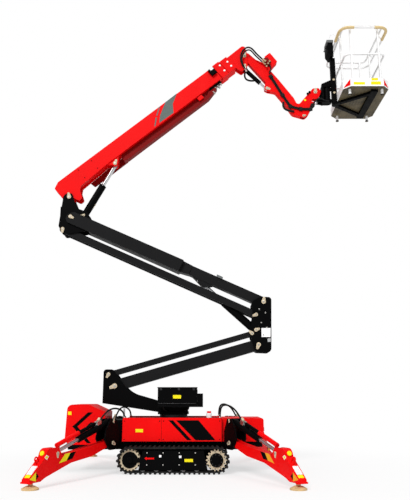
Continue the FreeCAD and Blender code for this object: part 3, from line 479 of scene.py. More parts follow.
# Pins in a leg's plane: name, body, centre, face, size and heading
LEG_PINS = (
    ("pin_hinge_", "chassis", (0.0, 0.450), BRACKET_HALF, 0.030, 200),
    ("pin_top_", "chassis", (0.0, 0.755), BRACKET_HALF, 0.020, 100),
    ("pin_eye_", "leg_", (1.224, 0.398), LEG_HALF, 0.026, 265),
)
HOLDER_GAP = 0.0002
HOLDER_THICK = 0.007
HEAD_HEIGHT = 0.006
DROP_STEPS = 14


def drop_outline(centre, size, heading):
    """A round plate drawn out to a blunt point, the holder of a pin."""
    def corner(reach, turn):
        a = heading + math.radians(turn)
        return (centre[0] + reach * size * math.cos(a), centre[1] + reach * size * math.sin(a))

    points = [corner(1.0, 60 + 240 * i / DROP_STEPS) for i in range(DROP_STEPS + 1)]
    return points + [corner(2.2, turn) for turn in (-12, 12)]


def pin_holder(name, body, place, centre, face, size, heading):
    turn = math.radians(heading)
    bolt = (centre[0] + 1.5 * size * math.cos(turn), centre[1] + 1.5 * size * math.sin(turn))
    outline = drop_outline(centre, size, turn)
    shape(name, "cream", body,
          lambda bm: film(bm, place, outline, face + HOLDER_GAP, HOLDER_THICK), 0.0015)

    def heads(bm):
        studs(bm, place, centre, face + HOLDER_THICK, HEAD_HEIGHT, size * 0.5)
        studs(bm, place, bolt, face + HOLDER_THICK, HEAD_HEIGHT, size * 0.22, 6)

    shape(name + "_heads", "zinc", body, heads, 0.001)


def make_pins():
    for number, (body, centre, face, size, heading) in enumerate(PINS):
        pin_holder(f"pin_{number:02d}", body, upright, centre, face, size, heading)
    for corner in CORNERS:
        for name, body, centre, face, size, heading in LEG_PINS:
            rider = body + corner if body.endswith("_") else body
            pin_holder(name + corner, rider, leg_place(corner), centre, face, size, heading)


# Colours of the chassis: name, material, face and pixels of the photograph
CHASSIS_MARKS = (
    ("panel_stripe_0", "black", PANEL_FACE,
     ((168.5, 420.3), (173, 420.3), (191.6, 440.2), (187, 440.2))),
    ("panel_stripe_1", "black", PANEL_FACE,
     ((176, 420.3), (198.5, 420.3), (215.5, 440.2), (195.5, 440.2))),
    ("panel_plate", "yellow", PANEL_FACE, ((135.5, 429), (143, 429), (143, 432.3), (135.5, 432.3))),
    ("hood_chevron_0", "black", HOOD_FACE,
     ((88.1, 412.3), (93.1, 412.3), (77.4, 426.5), (91.0, 443.2), (86.9, 443.2), (72.4, 426.5))),
    ("hood_chevron_1", "black", HOOD_FACE,
     ((90.5, 422.3), (93.5, 422.3), (87.6, 427.6), (93.4, 433.8), (90.0, 433.8), (85.2, 427.6))),
    ("hood_square", "yellow", HOOD_FACE, ((68, 411.5), (71.5, 411.5), (71.5, 415), (68, 415))),
)
PANEL_SEAM = (161.5, 425)
SEAM_HALF = 0.002
SCREW_INSET = 0.03
DECK_EDGE_IN = 0.385       # inner edge of the strips along the deck
DECK_EDGE_HIGH = 0.018


def make_chassis_marks():
    for name, material, face, pixels in CHASSIS_MARKS:
        mark(name, material, "chassis", face, pixels)
    seam = spot(*PANEL_SEAM, -PANEL_FACE).x
    low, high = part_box("side_panels")
    line = [(seam - SEAM_HALF, low[2]), (seam + SEAM_HALF, low[2]),
            (seam + SEAM_HALF, high[2]), (seam - SEAM_HALF, high[2])]
    shape("panel_seams", "black", "chassis",
          lambda bm: film(bm, upright, line, PANEL_FACE, 0.0008))

    def screws(bm):
        for x in (low[0] + SCREW_INSET, seam - SCREW_INSET, seam + SCREW_INSET,
                  high[0] - SCREW_INSET):
            for z in (low[2] + SCREW_INSET, high[2] - SCREW_INSET):
                studs(bm, upright, (x, z), PANEL_FACE, 0.005, 0.008, 12)

    shape("panel_screws", "black", "chassis", screws, 0.001)

    def edges(bm):
        for side in (-1, 1):
            box_on(bm, upright, (low[0] + 0.004, side * DECK_EDGE_IN, high[2]),
                   (high[0] - 0.004, side * PANEL_FACE, high[2] + DECK_EDGE_HIGH))

    shape("deck_edges", "red", "chassis", edges, 0.002)


# Hoods, with outlines in (along, up)
HOOD_VALANCE = ((-1.648, 0.500), (-1.640, 0.460), (-1.590, 0.402), (-1.062, 0.402),
                (-1.062, 0.500))
# A black tray under the valance: painted shade of the hood's underside
HOOD_SHADE_TRAY = ((-1.600, 0.402), (-1.545, 0.362), (-1.120, 0.362), (-1.062, 0.402))
VENT_SLATS = 7
VENT_LOW = 0.56
VENT_PITCH = 0.045
LAMP_Y = 0.26
HANDLE_X = (-1.36, 1.08)
HANDLE_Z = 0.60
HANDLE_LONG = 0.12
HANDLE_OUT = 0.030
HANDLE_R = 0.007
FILLER = (209, 419, -0.30)     # pixel and distance across
DECK_POST = (124, 419, -0.36)


def make_hood_details():
    """Handles, vents and lamps of the two hoods, and the cap and post on the deck."""
    left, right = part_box("engine_hood"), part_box("tank_hood")

    def slats(bm):
        for i in range(VENT_SLATS):
            z = VENT_LOW + VENT_PITCH * i
            box_on(bm, upright, (left[0][0], -0.22, z), (left[0][0] + 0.022, 0.22, z + 0.016))

    shape("hood_vent", "black", "chassis", slats, 0.002)
    wide, inner = HOOD_FACE + 0.0004, HOOD_FACE - 0.012
    shape("hood_valance", "red", "chassis",
          lambda bm: prism_on(bm, upright, HOOD_VALANCE, -wide, wide), 0.002)
    # Painted shade: a black sheet where the hood's red underside lies in shadow
    shape("hood_shade_tray", "black", "chassis",
          lambda bm: prism_on(bm, upright, HOOD_SHADE_TRAY, -inner, inner), 0.003)

    def lamps(bm):
        for y in (-LAMP_Y, LAMP_Y):
            box_on(bm, upright, (right[1][0] - 0.004, y - 0.05, 0.60),
                   (right[1][0] + 0.012, y + 0.05, 0.66))

    shape("tail_lamps", "deep_and_shaded_red", "chassis", lamps, 0.006)

    def handles(bm):
        for side in (-1, 1):
            near, far = side * HOOD_FACE, side * HOOD_FACE + side * HANDLE_OUT
            for start in HANDLE_X:
                end = start + HANDLE_LONG
                for x in (start, end):
                    add_tube(bm, (x, near, HANDLE_Z), (x, far, HANDLE_Z), HANDLE_R, 12)
                add_tube(bm, (start - HANDLE_R, far, HANDLE_Z), (end + HANDLE_R, far, HANDLE_Z),
                         HANDLE_R, 12)

    shape("hood_handles", "black", "chassis", handles, 0.001)
    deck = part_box("side_panels")[1][2]
    for name, material, foot, low, high, radius, smooth in (
            ("filler_neck", "white", FILLER, -0.03, 0.085, 0.040, 0.004),
            ("filler_cap", "red", FILLER, 0.085, 0.112, 0.034, 0.006),
            ("deck_post", "light_grey", DECK_POST, -0.03, 0.16, 0.014, 0.002)):
        at = spot(*foot)
        shape(name, material, "chassis",
              lambda bm: add_tube(bm, (at.x, at.y, deck + low), (at.x, at.y, deck + high), radius),
              smooth)


# Tracks
IDLER_X, SPROCKET_X = -0.617, 0.675
WHEEL_Z = 0.200
IDLER_FACE, SPROCKET_FACE, SPROCKET_HUB_FACE = 0.5702, 0.5902, 0.604
COVER = ((-0.485, 0.056), (0.545, 0.056), (0.485, 0.335), (-0.425, 0.335))
COVER_FACE = 0.5905
COVER_THICK = 0.006
COVER_BOLTS_X = (-0.36, -0.12, 0.12, 0.36)
COVER_BOLTS_Z = (0.135, 0.305)
TRACK_ARROW = ((144.3, 458.4), (146.7, 456.8), (146.7, 457.7), (154.0, 457.7), (154.0, 459.3),
               (146.7, 459.3), (146.7, 460.2))
TRACK_SQUARES = ((159.0, 455.0), (179.0, 455.6))
TRACK_SQUARE_SIZE = 2.4
TRACK_PLATE = ((184.5, 459), (193, 459), (193, 462), (184.5, 462))
# Round caps of the wheels: along, inner face, height, radius and sides
HUBS = ((IDLER_X, 0.592, 0.012, 0.045, 20), (IDLER_X, IDLER_FACE, 0.0058, 0.118, 40),
        (SPROCKET_X, SPROCKET_HUB_FACE, 0.008, 0.050, 20))
# Rings of bolts on the sprocket: radius, face and bolt radius
BOLT_RINGS = ((0.080, SPROCKET_HUB_FACE, 0.009), (0.124, 0.590, 0.008))
BOLTS_IN_RING = 9
NOTCHES = 18
NOTCH = ((0.140, -0.07), (0.1565, -0.10), (0.1565, 0.10), (0.140, 0.07))   # radius and turn


def around(centre, radius, count):
    """Angles and (along, up) points round a centre, half a step off the first."""
    for i in range(count):
        a = 2 * math.pi * (i + 0.5) / count
        yield a, (centre[0] + radius * math.cos(a), centre[1] + radius * math.sin(a))


def make_tracks():
    shape("track_covers", "black", "chassis",
          lambda bm: film(bm, upright, COVER, COVER_FACE, COVER_THICK), 0.002)
    face = COVER_FACE + COVER_THICK
    mark("track_arrows", "red", "chassis", face, TRACK_ARROW)
    mark("track_plates", "yellow", "chassis", face, TRACK_PLATE)

    def squares(bm):
        for px, py in TRACK_SQUARES:
            film(bm, upright, on_side(square_at(px, py, TRACK_SQUARE_SIZE), face), face)

    shape("track_squares", "white", "chassis", squares)

    def bolts(bm):
        for x in COVER_BOLTS_X:
            for z in COVER_BOLTS_Z:
                studs(bm, upright, (x, z), face, 0.007, 0.010, 6)

    shape("cover_bolts", "zinc", "chassis", bolts)

    def hub_bolts(bm):
        for radius, bolt_face, size in BOLT_RINGS:
            for _, centre in around((SPROCKET_X, WHEEL_Z), radius, BOLTS_IN_RING):
                studs(bm, upright, centre, bolt_face, 0.007, size, 6)

    shape("hub_bolts", "steel", "chassis", hub_bolts)

    def hubs(bm):
        for x, inner, height, radius, sides in HUBS:
            studs(bm, upright, (x, WHEEL_Z), inner, height, radius, sides)

    shape("wheel_hubs", "black", "chassis", hubs, 0.003)

    def notches(bm):
        for x, wheel_face in ((IDLER_X, IDLER_FACE), (SPROCKET_X, SPROCKET_FACE)):
            for a, _ in around((x, WHEEL_Z), 0.0, NOTCHES):
                outline = [(x + r * math.cos(a + t), WHEEL_Z + r * math.sin(a + t))
                           for r, t in NOTCH]
                film(bm, upright, outline, wheel_face, 0.0015)

    shape("wheel_notches", "black", "chassis", notches)


# Outriggers, in the leg's own plane: along from the hinge, up from the floor
LEG_DIAMOND = ((46.5, 455.0), (48.8, 456.5), (46.9, 460.0), (44.6, 457.7))
DIAMOND_SHARE = 0.68           # of its edge's size
# Colours of a leg: name, material and pixels; "bright" is yellow at the left, orange at the right
LEG_MARKS = (
    ("band", "bright", ((65.4, 453.8), (70.4, 452.7), (66.5, 460.6), (58.8, 463.5))),
    ("band_dark", "black", ((70.4, 452.7), (76.0, 451.3), (72.3, 458.7), (66.5, 460.6))),
    ("toe", "bright", ((36.0, 472.3), (35.8, 481.5), (29.6, 480.0))),
    ("toe_dark", "black", ((36.5, 473.1), (38.7, 476.3), (35.9, 480.2))),
    ("diamond_edge", "white", LEG_DIAMOND),
)
TOE_TOP = Vector((1.465, 0.370))
TOE_DOWN = Vector((0.745, -0.667))
TOE_OUT = Vector((0.667, 0.745))
# Along the toe, down from its top
TREAD_RIBS, RIB_START, RIB_PITCH, RIB_LONG = 6, 0.155, 0.022, 0.010
TREAD_SPAN = (0.150, 0.285)
TOE_PLATE_SPAN = (0.290, 0.335)
FLANGE = ((1.695, 0.078), (1.738, 0.078), (1.738, 0.100), (1.695, 0.100))
LAMP_BACK, LAMP_FRONT = (1.450, 0.0, 0.412), (1.470, 0.0, 0.419)
RING_COURSE = ((0.060, -0.004), (0.055, 0.060), (0.085, 0.085), (0.118, 0.060), (0.112, -0.004))
EYE = Vector((1.224, 0.398))
CYL_BACK = Vector((-0.960, 0.280))
CYL_UP = Vector((0.280, 0.960))
# Beside the cylinder, as (back, up) from its eye
GUARD_UP = 0.081
GUARD_SPAN, SLIDER_SPAN = (0.062, 0.540), (0.500, 0.930)
GUARD_WEB = ((0.070, 0.022), (0.105, 0.022), (0.120, 0.058), (0.066, 0.058))
SLIDER_WEB = ((0.860, 0.040), (0.910, 0.040), (0.910, 0.064), (0.860, 0.064))
LEG_VALVE = ((0.960, 0.040), (1.060, 0.040), (1.060, 0.100), (0.960, 0.100))
HOSE_END = (1.010, 0.062)
HOSE_FITTING = (1.010, 0.098)
# Bends of a leg's hose over the deck: along, across and height above it
HOSE_BENDS = {
    -1: ((0.735, 0.415, -0.02), (0.735, 0.415, 0.075), (0.800, 0.470, 0.150),
         (0.905, 0.570, 0.165)),
    1: ((0.735, 0.415, -0.02), (0.732, 0.415, 0.115), (0.775, 0.450, 0.215),
        (0.890, 0.560, 0.200)),
}
FITTING_LONG = 0.050
FITTING_R = 0.019


def beside_rod(back, up):
    """A point beside the outrigger cylinder: back from its eye along the rod, up off its axis."""
    point = EYE + CYL_BACK * back + CYL_UP * up
    return (point.x, point.y)


def on_toe(down, out):
    """A point on the sloping toe: down its face and out from it."""
    point = TOE_TOP + TOE_DOWN * down + TOE_OUT * out
    return (point.x, point.y)


def make_leg(corner):
    place = leg_place(corner)
    leg, rod, barrel = "leg_" + corner, "leg_rod_" + corner, "leg_barrel_" + corner
    bright = "yellow" if corner.startswith("left") else "orange"
    for label, colour, pixels in LEG_MARKS:
        outline = [leg_spot(*p) for p in pixels]
        shape(f"{leg}_{label}", bright if colour == "bright" else colour, leg,
              lambda bm: film(bm, place, outline, LEG_HALF))
    edge = [Vector(leg_spot(*p)) for p in LEG_DIAMOND]
    centre = sum(edge, Vector((0.0, 0.0))) / len(edge)
    inner = [tuple(centre + (p - centre) * DIAMOND_SHARE) for p in edge]
    shape(leg + "_diamond", "yellow", leg, lambda bm: film(bm, place, inner, LEG_HALF + SKIN))

    def strip(bm, start, end, half, out):
        corners = [on_toe(*p) for p in ((start, 0.0), (end, 0.0), (end, out), (start, out))]
        prism_on(bm, place, corners, -half, half)

    def ribs(bm):
        for i in range(TREAD_RIBS):
            start = RIB_START + RIB_PITCH * i
            strip(bm, start, start + RIB_LONG, 0.040, 0.012)
        strip(bm, *TREAD_SPAN, 0.042, 0.006)

    shape(leg + "_tread", "white", leg, ribs, 0.001)
    shape(leg + "_toe_plate", "yellow", leg, lambda bm: strip(bm, *TOE_PLATE_SPAN, 0.040, 0.003))
    shape(leg + "_flange", "red", leg,
          lambda bm: prism_on(bm, place, FLANGE, -0.080, 0.080), 0.003)
    shape(leg + "_lamp", "yellow", leg,
          lambda bm: tube_on(bm, place, LAMP_BACK, LAMP_FRONT, 0.032, 28), 0.006)
    course = [on_toe(*p) for p in RING_COURSE]
    ring = hose_curve(leg + "_ring", [place(a, 0.0, u) for a, u in course], 0.010, "red",
                      rounds=3, steps=12)
    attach(ring, leg)

    def guard(name, material, body, span, radius, sides):
        ends = [place(a, 0.0, u) for a, u in (beside_rod(back, GUARD_UP) for back in span)]
        shape(name, material, body, lambda bm: add_tube(bm, *ends, radius, sides), 0.002)

    def block(name, material, body, corners, half, smooth=0.0):
        outline = [beside_rod(*c) for c in corners]
        shape(name, material, body, lambda bm: prism_on(bm, place, outline, -half, half), smooth)

    # A red guard tube goes with the rod and slides over a black one on the barrel
    guard(rod + "_guard", "red", rod, GUARD_SPAN, 0.031, 28)
    block(rod + "_web", "red", rod, GUARD_WEB, 0.012)
    guard(barrel + "_slider", "black", barrel, SLIDER_SPAN, 0.025, 24)
    block(barrel + "_slider_web", "black", barrel, SLIDER_WEB, 0.016)
    block(barrel + "_valve", "zinc", barrel, LEG_VALVE, 0.028, 0.003)
    make_leg_hose(corner, place)


def make_leg_hose(corner, place):
    sx, sy = CORNERS[corner]
    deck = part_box("side_panels")[1][2]
    points = [Vector((x * sx, y * sy, deck + z)) for x, y, z in HOSE_BENDS[sx]]
    end, start = (place(a, 0.0, u) for a, u in (beside_rod(*HOSE_END), beside_rod(*HOSE_FITTING)))
    points.append(end * 0.6 + points[-1] * 0.4 + Vector((0, 0, 0.050)))
    points.append(end)
    bridging_hose("leg_hose_" + corner, points, 0.013)
    away = (points[-2] - end).normalized() * FITTING_LONG
    shape("leg_fitting_" + corner, "cream", "leg_barrel_" + corner,
          lambda bm: add_tube(bm, start, start + away, FITTING_R, 16), 0.002)
    rise = Vector((0, 0, FITTING_LONG))
    shape("leg_socket_" + corner, "zinc", "chassis",
          lambda bm: add_tube(bm, points[0], points[0] + rise, FITTING_R, 16), 0.002)


# Hoses
def hose_curve(name, points, radius, material="hose", rounds=4, steps=10):
    data = bpy.data.curves.new(name, "CURVE")
    data.dimensions = "3D"
    data.bevel_depth = radius
    data.bevel_resolution = rounds
    data.use_fill_caps = True
    spline = data.splines.new("NURBS")
    spline.points.add(len(points) - 1)
    for point, where in zip(spline.points, points):
        point.co = (*where, 1.0)
    spline.order_u = 3
    spline.use_endpoint_u = True
    spline.resolution_u = steps
    data.materials.append(MATERIALS[material])
    return add_object(name, data)


def line_of(made):
    """Points along a curve's own line, read from it with its thickness off."""
    depth = made.data.bevel_depth
    made.data.bevel_depth = 0.0
    bpy.context.view_layer.update()
    graph = bpy.context.evaluated_depsgraph_get()
    mesh = bpy.data.meshes.new_from_object(made.evaluated_get(graph))
    line = [made.matrix_world @ v.co for v in mesh.vertices]
    bpy.data.meshes.remove(mesh)
    made.data.bevel_depth = depth
    return line


def hose(name, points, radius, body):
    """A hose whose two ends are on one body."""
    points = [Vector(p) for p in points]
    made = hose_curve(name, points, radius)
    line = line_of(made)
    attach(made, body)


def tube_along(bm, line, radius, sides=14):
    """A round tube swept along a line, turned as little as can be from ring to ring."""
    rings = []
    across = (line[1] - line[0]).orthogonal().normalized()
    for i, point in enumerate(line):
        ahead = (line[min(i + 1, len(line) - 1)] - line[max(i - 1, 0)]).normalized()
        across = (across - ahead * across.dot(ahead)).normalized()
        other = ahead.cross(across)
        rings.append([bm.verts.new(point + (across * math.cos(a) + other * math.sin(a)) * radius)
                      for a in (2 * math.pi * k / sides for k in range(sides))])
    for near, far in zip(rings, rings[1:]):
        for k in range(sides):
            bm.faces.new((near[k], near[(k + 1) % sides], far[(k + 1) % sides], far[k]))
    bm.faces.new(list(reversed(rings[0])))
    bm.faces.new(rings[-1])


def bridging_hose(name, points, radius):
    """A hose that crosses a joint: a mesh tube swept along its course, held by neither body."""
    guide = hose_curve(name + "_line", points, radius)
    line = line_of(guide)
    bpy.data.objects.remove(guide)
    mesh = mesh_of(name, lambda bm: tube_along(bm, line, radius))
    mesh.materials.append(MATERIALS["hose"])
    for face in mesh.polygons:
        face.use_smooth = True
    made = add_object(name, mesh)
    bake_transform(made)


# Boom: marks as pixels, other pieces in (along, across, up) from its pivot
BOOM_MARKS = (
    ("boom_patch", ((159.2, 123.0), (160.2, 115.0), (165.3, 102.3), (176.8, 93.4), (172.8, 103.8),
                    (173.6, 112.8))),
    ("boom_stripe_0", ((158.9, 107.1), (160.2, 106.2), (157.3, 115.7), (156.0, 115.7))),
    ("boom_stripe_1", ((155.6, 117.4), (157.0, 117.4), (155.6, 125.9), (154.2, 126.6))),
)
# Slide pads of the collars: body, face, along and up
COLLAR_PADS = (("boom_mid", 0.118, 3.630, 0.285), ("boom_mid", 0.118, 3.630, 0.155),
               ("boom_inner", 0.108, 3.790, 0.258), ("boom_inner", 0.108, 3.790, 0.152))
BOOM_BOXES = (
    ("boom_sensor", "black", (3.385, -BOOM_FACE - 0.052, 0.205), (3.495, -BOOM_FACE, 0.335), 0.006),
    ("boom_sensor_cap", "white", (3.420, -BOOM_FACE - 0.060, 0.290),
     (3.486, -BOOM_FACE - 0.050, 0.345), 0.003),
    ("boom_manifold", "black", (3.20, -0.070, 0.030), (3.46, 0.020, 0.074), 0.004),
    ("tray_block", "red", (2.905, -0.092, -0.012), (3.010, -0.060, 0.062), 0.004),
)
# Fittings under the boom: along, up and length
BOOM_FITTINGS = ((3.30, 0.040, 0.05), (3.36, 0.030, 0.06), (3.42, 0.045, 0.045),
                 (3.22, -0.010, 0.05))
CYLINDER_PORTS = ((92.6, 206.8, 0.0), (94.2, 204.4, 0.0))
PORT_REACH = (1.2, 0.8, 0.0)   # in pixels
BOOM_BOLTS = ((0.42, 0.12), (0.42, 0.30), (0.70, 0.12), (0.70, 0.30))


def make_boom():
    for name, pixels in BOOM_MARKS:
        mark(name, "patch", "boom_outer", BOOM_FACE, pixels)
    for number, (body, face, along, up) in enumerate(COLLAR_PADS):
        shape(f"collar_pad_{number}", "white", body,
              lambda bm: studs(bm, boom_place, (along, up), face, 0.010, 0.019), 0.002)
    for name, material, low, high, smooth in BOOM_BOXES:
        shape(name, material, "boom_outer", lambda bm: box_on(bm, boom_place, low, high), smooth)

    def fittings(bm):
        for along, up, reach in BOOM_FITTINGS:
            for across in (-0.052, -0.020):
                tube_on(bm, boom_place, (along, across, up), (along + 0.02, across, up - reach),
                        0.014, 6)

    shape("boom_fittings", "zinc", "boom_outer", fittings, 0.001)

    def ports(bm):
        for foot in CYLINDER_PORTS:
            tip = [value + reach for value, reach in zip(foot, PORT_REACH)]
            add_tube(bm, spot(*foot), spot(*tip), 0.018, 6)

    shape("boom_cylinder_ports", "cream", "boom_cyl_barrel", ports, 0.001)

    def bolts(bm):
        for centre in BOOM_BOLTS:
            studs(bm, boom_place, centre, BOOM_FACE, 0.006, 0.010, 6)

    shape("boom_bolts", "deep_and_shaded_red", "boom_outer", bolts, 0.001)


# Head and jib: a course in pixels also has its distance across
HEAD_HOSE = ((245.3, 69.0, -0.092), (242.2, 65.0, -0.100), (240.3, 58.5, -0.102),
             (241.6, 51.5, -0.104), (247.0, 46.8, -0.104), (252.0, 48.3, -0.104),
             (256.8, 54.5, -0.100), (265.0, 61.4, -0.076))
LOW_ANCHOR = Vector((1.246, -0.090, 6.958))
HEAD_HOSE_LOW = ((243.2, 66.0, -0.125), (241.6, 59.5, -0.134), (243.1, 53.3, -0.135),
                 (247.4, 49.6, -0.135), (251.2, 50.4, -0.134), (256.0, 56.6, -0.126),
                 (265.2, 64.2, -0.076))
HOSE_NUTS = (((262.4, 59.0, -0.082), (265.6, 61.8, -0.082)),
             ((262.2, 61.6, -0.086), (265.6, 64.6, -0.086)))
VALVE_STUBS = ((265.4, 60.6), (268.2, 63.2), (266.6, 66.0), (269.6, 61.0))
VALVE_PLATE = ((263.5, 58.4), (267.2, 57.4), (271.2, 62.0), (269.0, 67.0), (265.0, 66.0))
JIB_HOSE_TOP = ((269.6, 64.5, -0.080), (270.9, 67.5, -0.086), (270.6, 70.5, -0.086),
                (269.2, 73.6, -0.072))
JIB_CYLINDER_HOSE = ((1.242, -0.020, 6.926), (1.218, -0.030, 6.815), (1.310, -0.040, 6.728),
                     (1.410, -0.020, 6.754))
JIB_HOSE_UNDER = ((1.925, -0.060, 6.300), (1.905, -0.078, 6.200), (1.990, -0.078, 6.120),
                  (2.110, -0.060, 6.120))
BASKET_HOSE = ((2.430, -0.066, 6.220), (2.500, -0.080, 6.330), (2.600, -0.100, 6.360),
               (2.680, -0.095, 6.300), (2.745, -0.080, 6.318))
JIB_STICKER = (305, 100)
JIB_CLAMPS = ((307.5, 94.0), (309.4, 92.4))


def make_head():
    """Hoses round the boom's head, along the jib and on to the basket."""
    loop = [spot(*p) for p in HEAD_HOSE]
    bridging_hose("head_hose", loop, 0.0145)
    low_loop = [LOW_ANCHOR] + [spot(*p) for p in HEAD_HOSE_LOW]
    bridging_hose("head_hose_low", low_loop, 0.0125)

    def fittings(bm):
        for start, end in HOSE_NUTS:
            add_tube(bm, spot(*start), spot(*end), 0.019, 6)
        for px, py in VALVE_STUBS:
            add_tube(bm, spot(px, py, -0.060), spot(px, py, -0.118), 0.017, 6)

    shape("valve_fittings", "brass", "jib", fittings, 0.001)
    plate = on_side(VALVE_PLATE, 0.06)
    shape("valve_plate", "deep_and_shaded_red", "jib",
          lambda bm: prism_on(bm, upright, plate, -0.066, -0.058), 0.002)
    anchor = loop[0]

    def holders(bm):
        add_tube(bm, (anchor.x, -INNER_FACE, anchor.z), (anchor.x, -0.150, anchor.z), 0.012, 12)
        for top, radius in ((anchor, 0.019), (LOW_ANCHOR, 0.018)):
            add_tube(bm, top, top + Vector((0.02, 0, -0.05)), radius, 6)

    shape("head_fittings", "zinc", "boom_inner", holders, 0.001)
    hose("jib_hose_top", [spot(*p) for p in JIB_HOSE_TOP], 0.013, "jib")
    hose("jib_cylinder_hose", JIB_CYLINDER_HOSE, 0.016, "jib_cyl_barrel")
    hose("jib_hose_under", JIB_HOSE_UNDER, 0.020, "jib")
    bridging_hose("basket_hose", [Vector(p) for p in BASKET_HOSE], 0.0125)
    sticker = spot(*JIB_STICKER, -JIB_FACE)
    shape("jib_sticker", "yellow", "jib",
          lambda bm: studs(bm, upright, (sticker.x, sticker.z), JIB_FACE, SKIN, 0.020, 28))

    def clamps(bm):
        for pixel in JIB_CLAMPS:
            foot = spot(*pixel, -JIB_FACE)
            add_tube(bm, foot, foot + Vector((0, -0.022, 0)), 0.020, 12)

    shape("jib_clamps", "black", "jib", clamps, 0.002)


# Riser: turret, slewing ring, elbow and upper arm
CONTROL_PLATE = ((173, 395), (181, 395), (181, 398.5), (173, 398.5))
LATCH_X = (-0.18, 0.10, 0.33)
LATCH_HALF = 0.018
LATCH_Z = (1.215, 1.245)
LID_LIP = ((-0.215, 1.012), (0.365, 1.020))    # its two corners, along and up
ELBOW_PLACARD = ((261.5, 328), (270.6, 328), (270.6, 337), (261.5, 337))
ELBOW_LABEL = ((267.6, 338.4), (270.8, 338.4), (270.8, 341.8), (267.6, 341.8))
ARM_BLOCK = ((217, 274.6), (223, 277.3), (222.4, 279.4), (216.5, 276.7))
ELBOW_BOLTS = ((1.43, 2.30), (1.46, 2.10), (1.52, 2.22), (1.40, 2.52), (1.50, 2.46))
SLEW_BOLTS = 24
SLEW_BOLT_CIRCLE = 0.205
SLEW_BOLT_Z = (0.785, 0.778)
TURRET_HOSES = (
    ("turret_hose_a", ((-0.150, -0.300, 0.990), (-0.150, -0.300, 0.925),
                       (-0.090, -0.215, 0.885), (-0.060, -0.135, 0.905))),
    ("turret_hose_b", ((0.250, -0.300, 0.990), (0.250, -0.300, 0.930),
                       (0.185, -0.215, 0.890), (0.150, -0.135, 0.910))),
)


def make_riser():
    face = -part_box("control_box")[0][1]
    plate = on_side(CONTROL_PLATE, face)
    shape("control_plate", "yellow", "turret",
          lambda bm: prism_on(bm, upright, plate, -face - 0.0002, -face - SKIN))

    def latches(bm):
        low, high = LATCH_Z
        for x in LATCH_X:
            box_on(bm, upright, (x - LATCH_HALF, -face - 0.010, low), (x + LATCH_HALF, -face, high))
        (start, bottom), (end, top) = LID_LIP
        box_on(bm, upright, (start, -face - 0.006, bottom), (end, -face, top))

    shape("control_latches", "steel", "turret", latches, 0.002)
    mark("elbow_placard", "white", "elbow", SIDE_FACE, ELBOW_PLACARD)
    mark("elbow_label", "light_grey", "elbow", SIDE_FACE, ELBOW_LABEL)
    block = on_side(ARM_BLOCK, ARM_FACE)
    shape("arm_block", "grey", "upper_arm",
          lambda bm: film(bm, upright, block, ARM_FACE, 0.026), 0.003)

    def side_bolts(bm):
        for centre in ELBOW_BOLTS:
            studs(bm, upright, centre, SIDE_FACE, 0.006, 0.012, 6)

    shape("elbow_bolts", "zinc", "elbow", side_bolts, 0.001)

    def ring_bolts(bm):
        top, bottom = SLEW_BOLT_Z
        for i in range(SLEW_BOLTS):
            a = 2 * math.pi * i / SLEW_BOLTS
            x, y = SLEW_BOLT_CIRCLE * math.cos(a), SLEW_BOLT_CIRCLE * math.sin(a)
            add_tube(bm, (x, y, top), (x, y, bottom), 0.010, 6)

    shape("ring_bolts", "zinc", "chassis", ring_bolts)
    for name, points in TURRET_HOSES:
        hose(name, points, 0.014, "turret")


# Basket
BASKET_LABELS = (((353.7, 82.0), (365.0, 82.0), (365.0, 84.6), (353.7, 84.6)),
                 ((371.0, 81.4), (381.0, 81.4), (381.0, 84.6), (371.0, 84.6)),
                 ((371.5, 78.0), (378.0, 78.0), (378.0, 80.4), (371.5, 80.4)))
FLOOR_FACE = 0.632
BASKET_X = 3.300               # middle of the basket
TRIANGLE_Z = (6.330, 6.446)
GUARD_RAIL_Z = 7.414           # the outer loop under the basket's top rail
GUARD_RAIL_BEND = 0.157
GUARD_BEND_Y = -0.525
BEND_STEPS = 6
# Foam on the outer rail: its start, the bend's middle and first turn, and its end
FOAM_SLEEVES = (("rail_foam_left", (2.883, -0.250), 3.040, 180, (3.120, -0.682)),
                ("rail_foam_right", (3.480, -0.682), 3.560, 270, (3.717, -0.300)))
FOAM_R = 0.025
PANEL_WIRE = ((331.0, 46.0), (328.6, 41.0), (329.2, 36.0), (333.0, 34.2), (336.0, 35.6),
              (337.6, 38.5))
WIRE_Y = -0.05
WIRE_R = 0.005
KNOBS_Y = (-0.075, -0.025, 0.025, 0.075)
KNOB_R = 0.012
FOOT_X, FOOT_Y, FOOT_Z = (3.020, 3.580), (-0.517, 0.517), (6.199, 6.214)
POST_PIN_X, POST_PIN_Z = 2.862, (6.500, 6.760)


def rail_bend(middle, start):
    """Points round a bend of the outer rail, from start degrees through a quarter turn."""
    turns = [math.radians(start + 90 * i / BEND_STEPS) for i in range(BEND_STEPS + 1)]
    return [(middle + GUARD_RAIL_BEND * math.cos(a), GUARD_BEND_Y + GUARD_RAIL_BEND * math.sin(a))
            for a in turns]


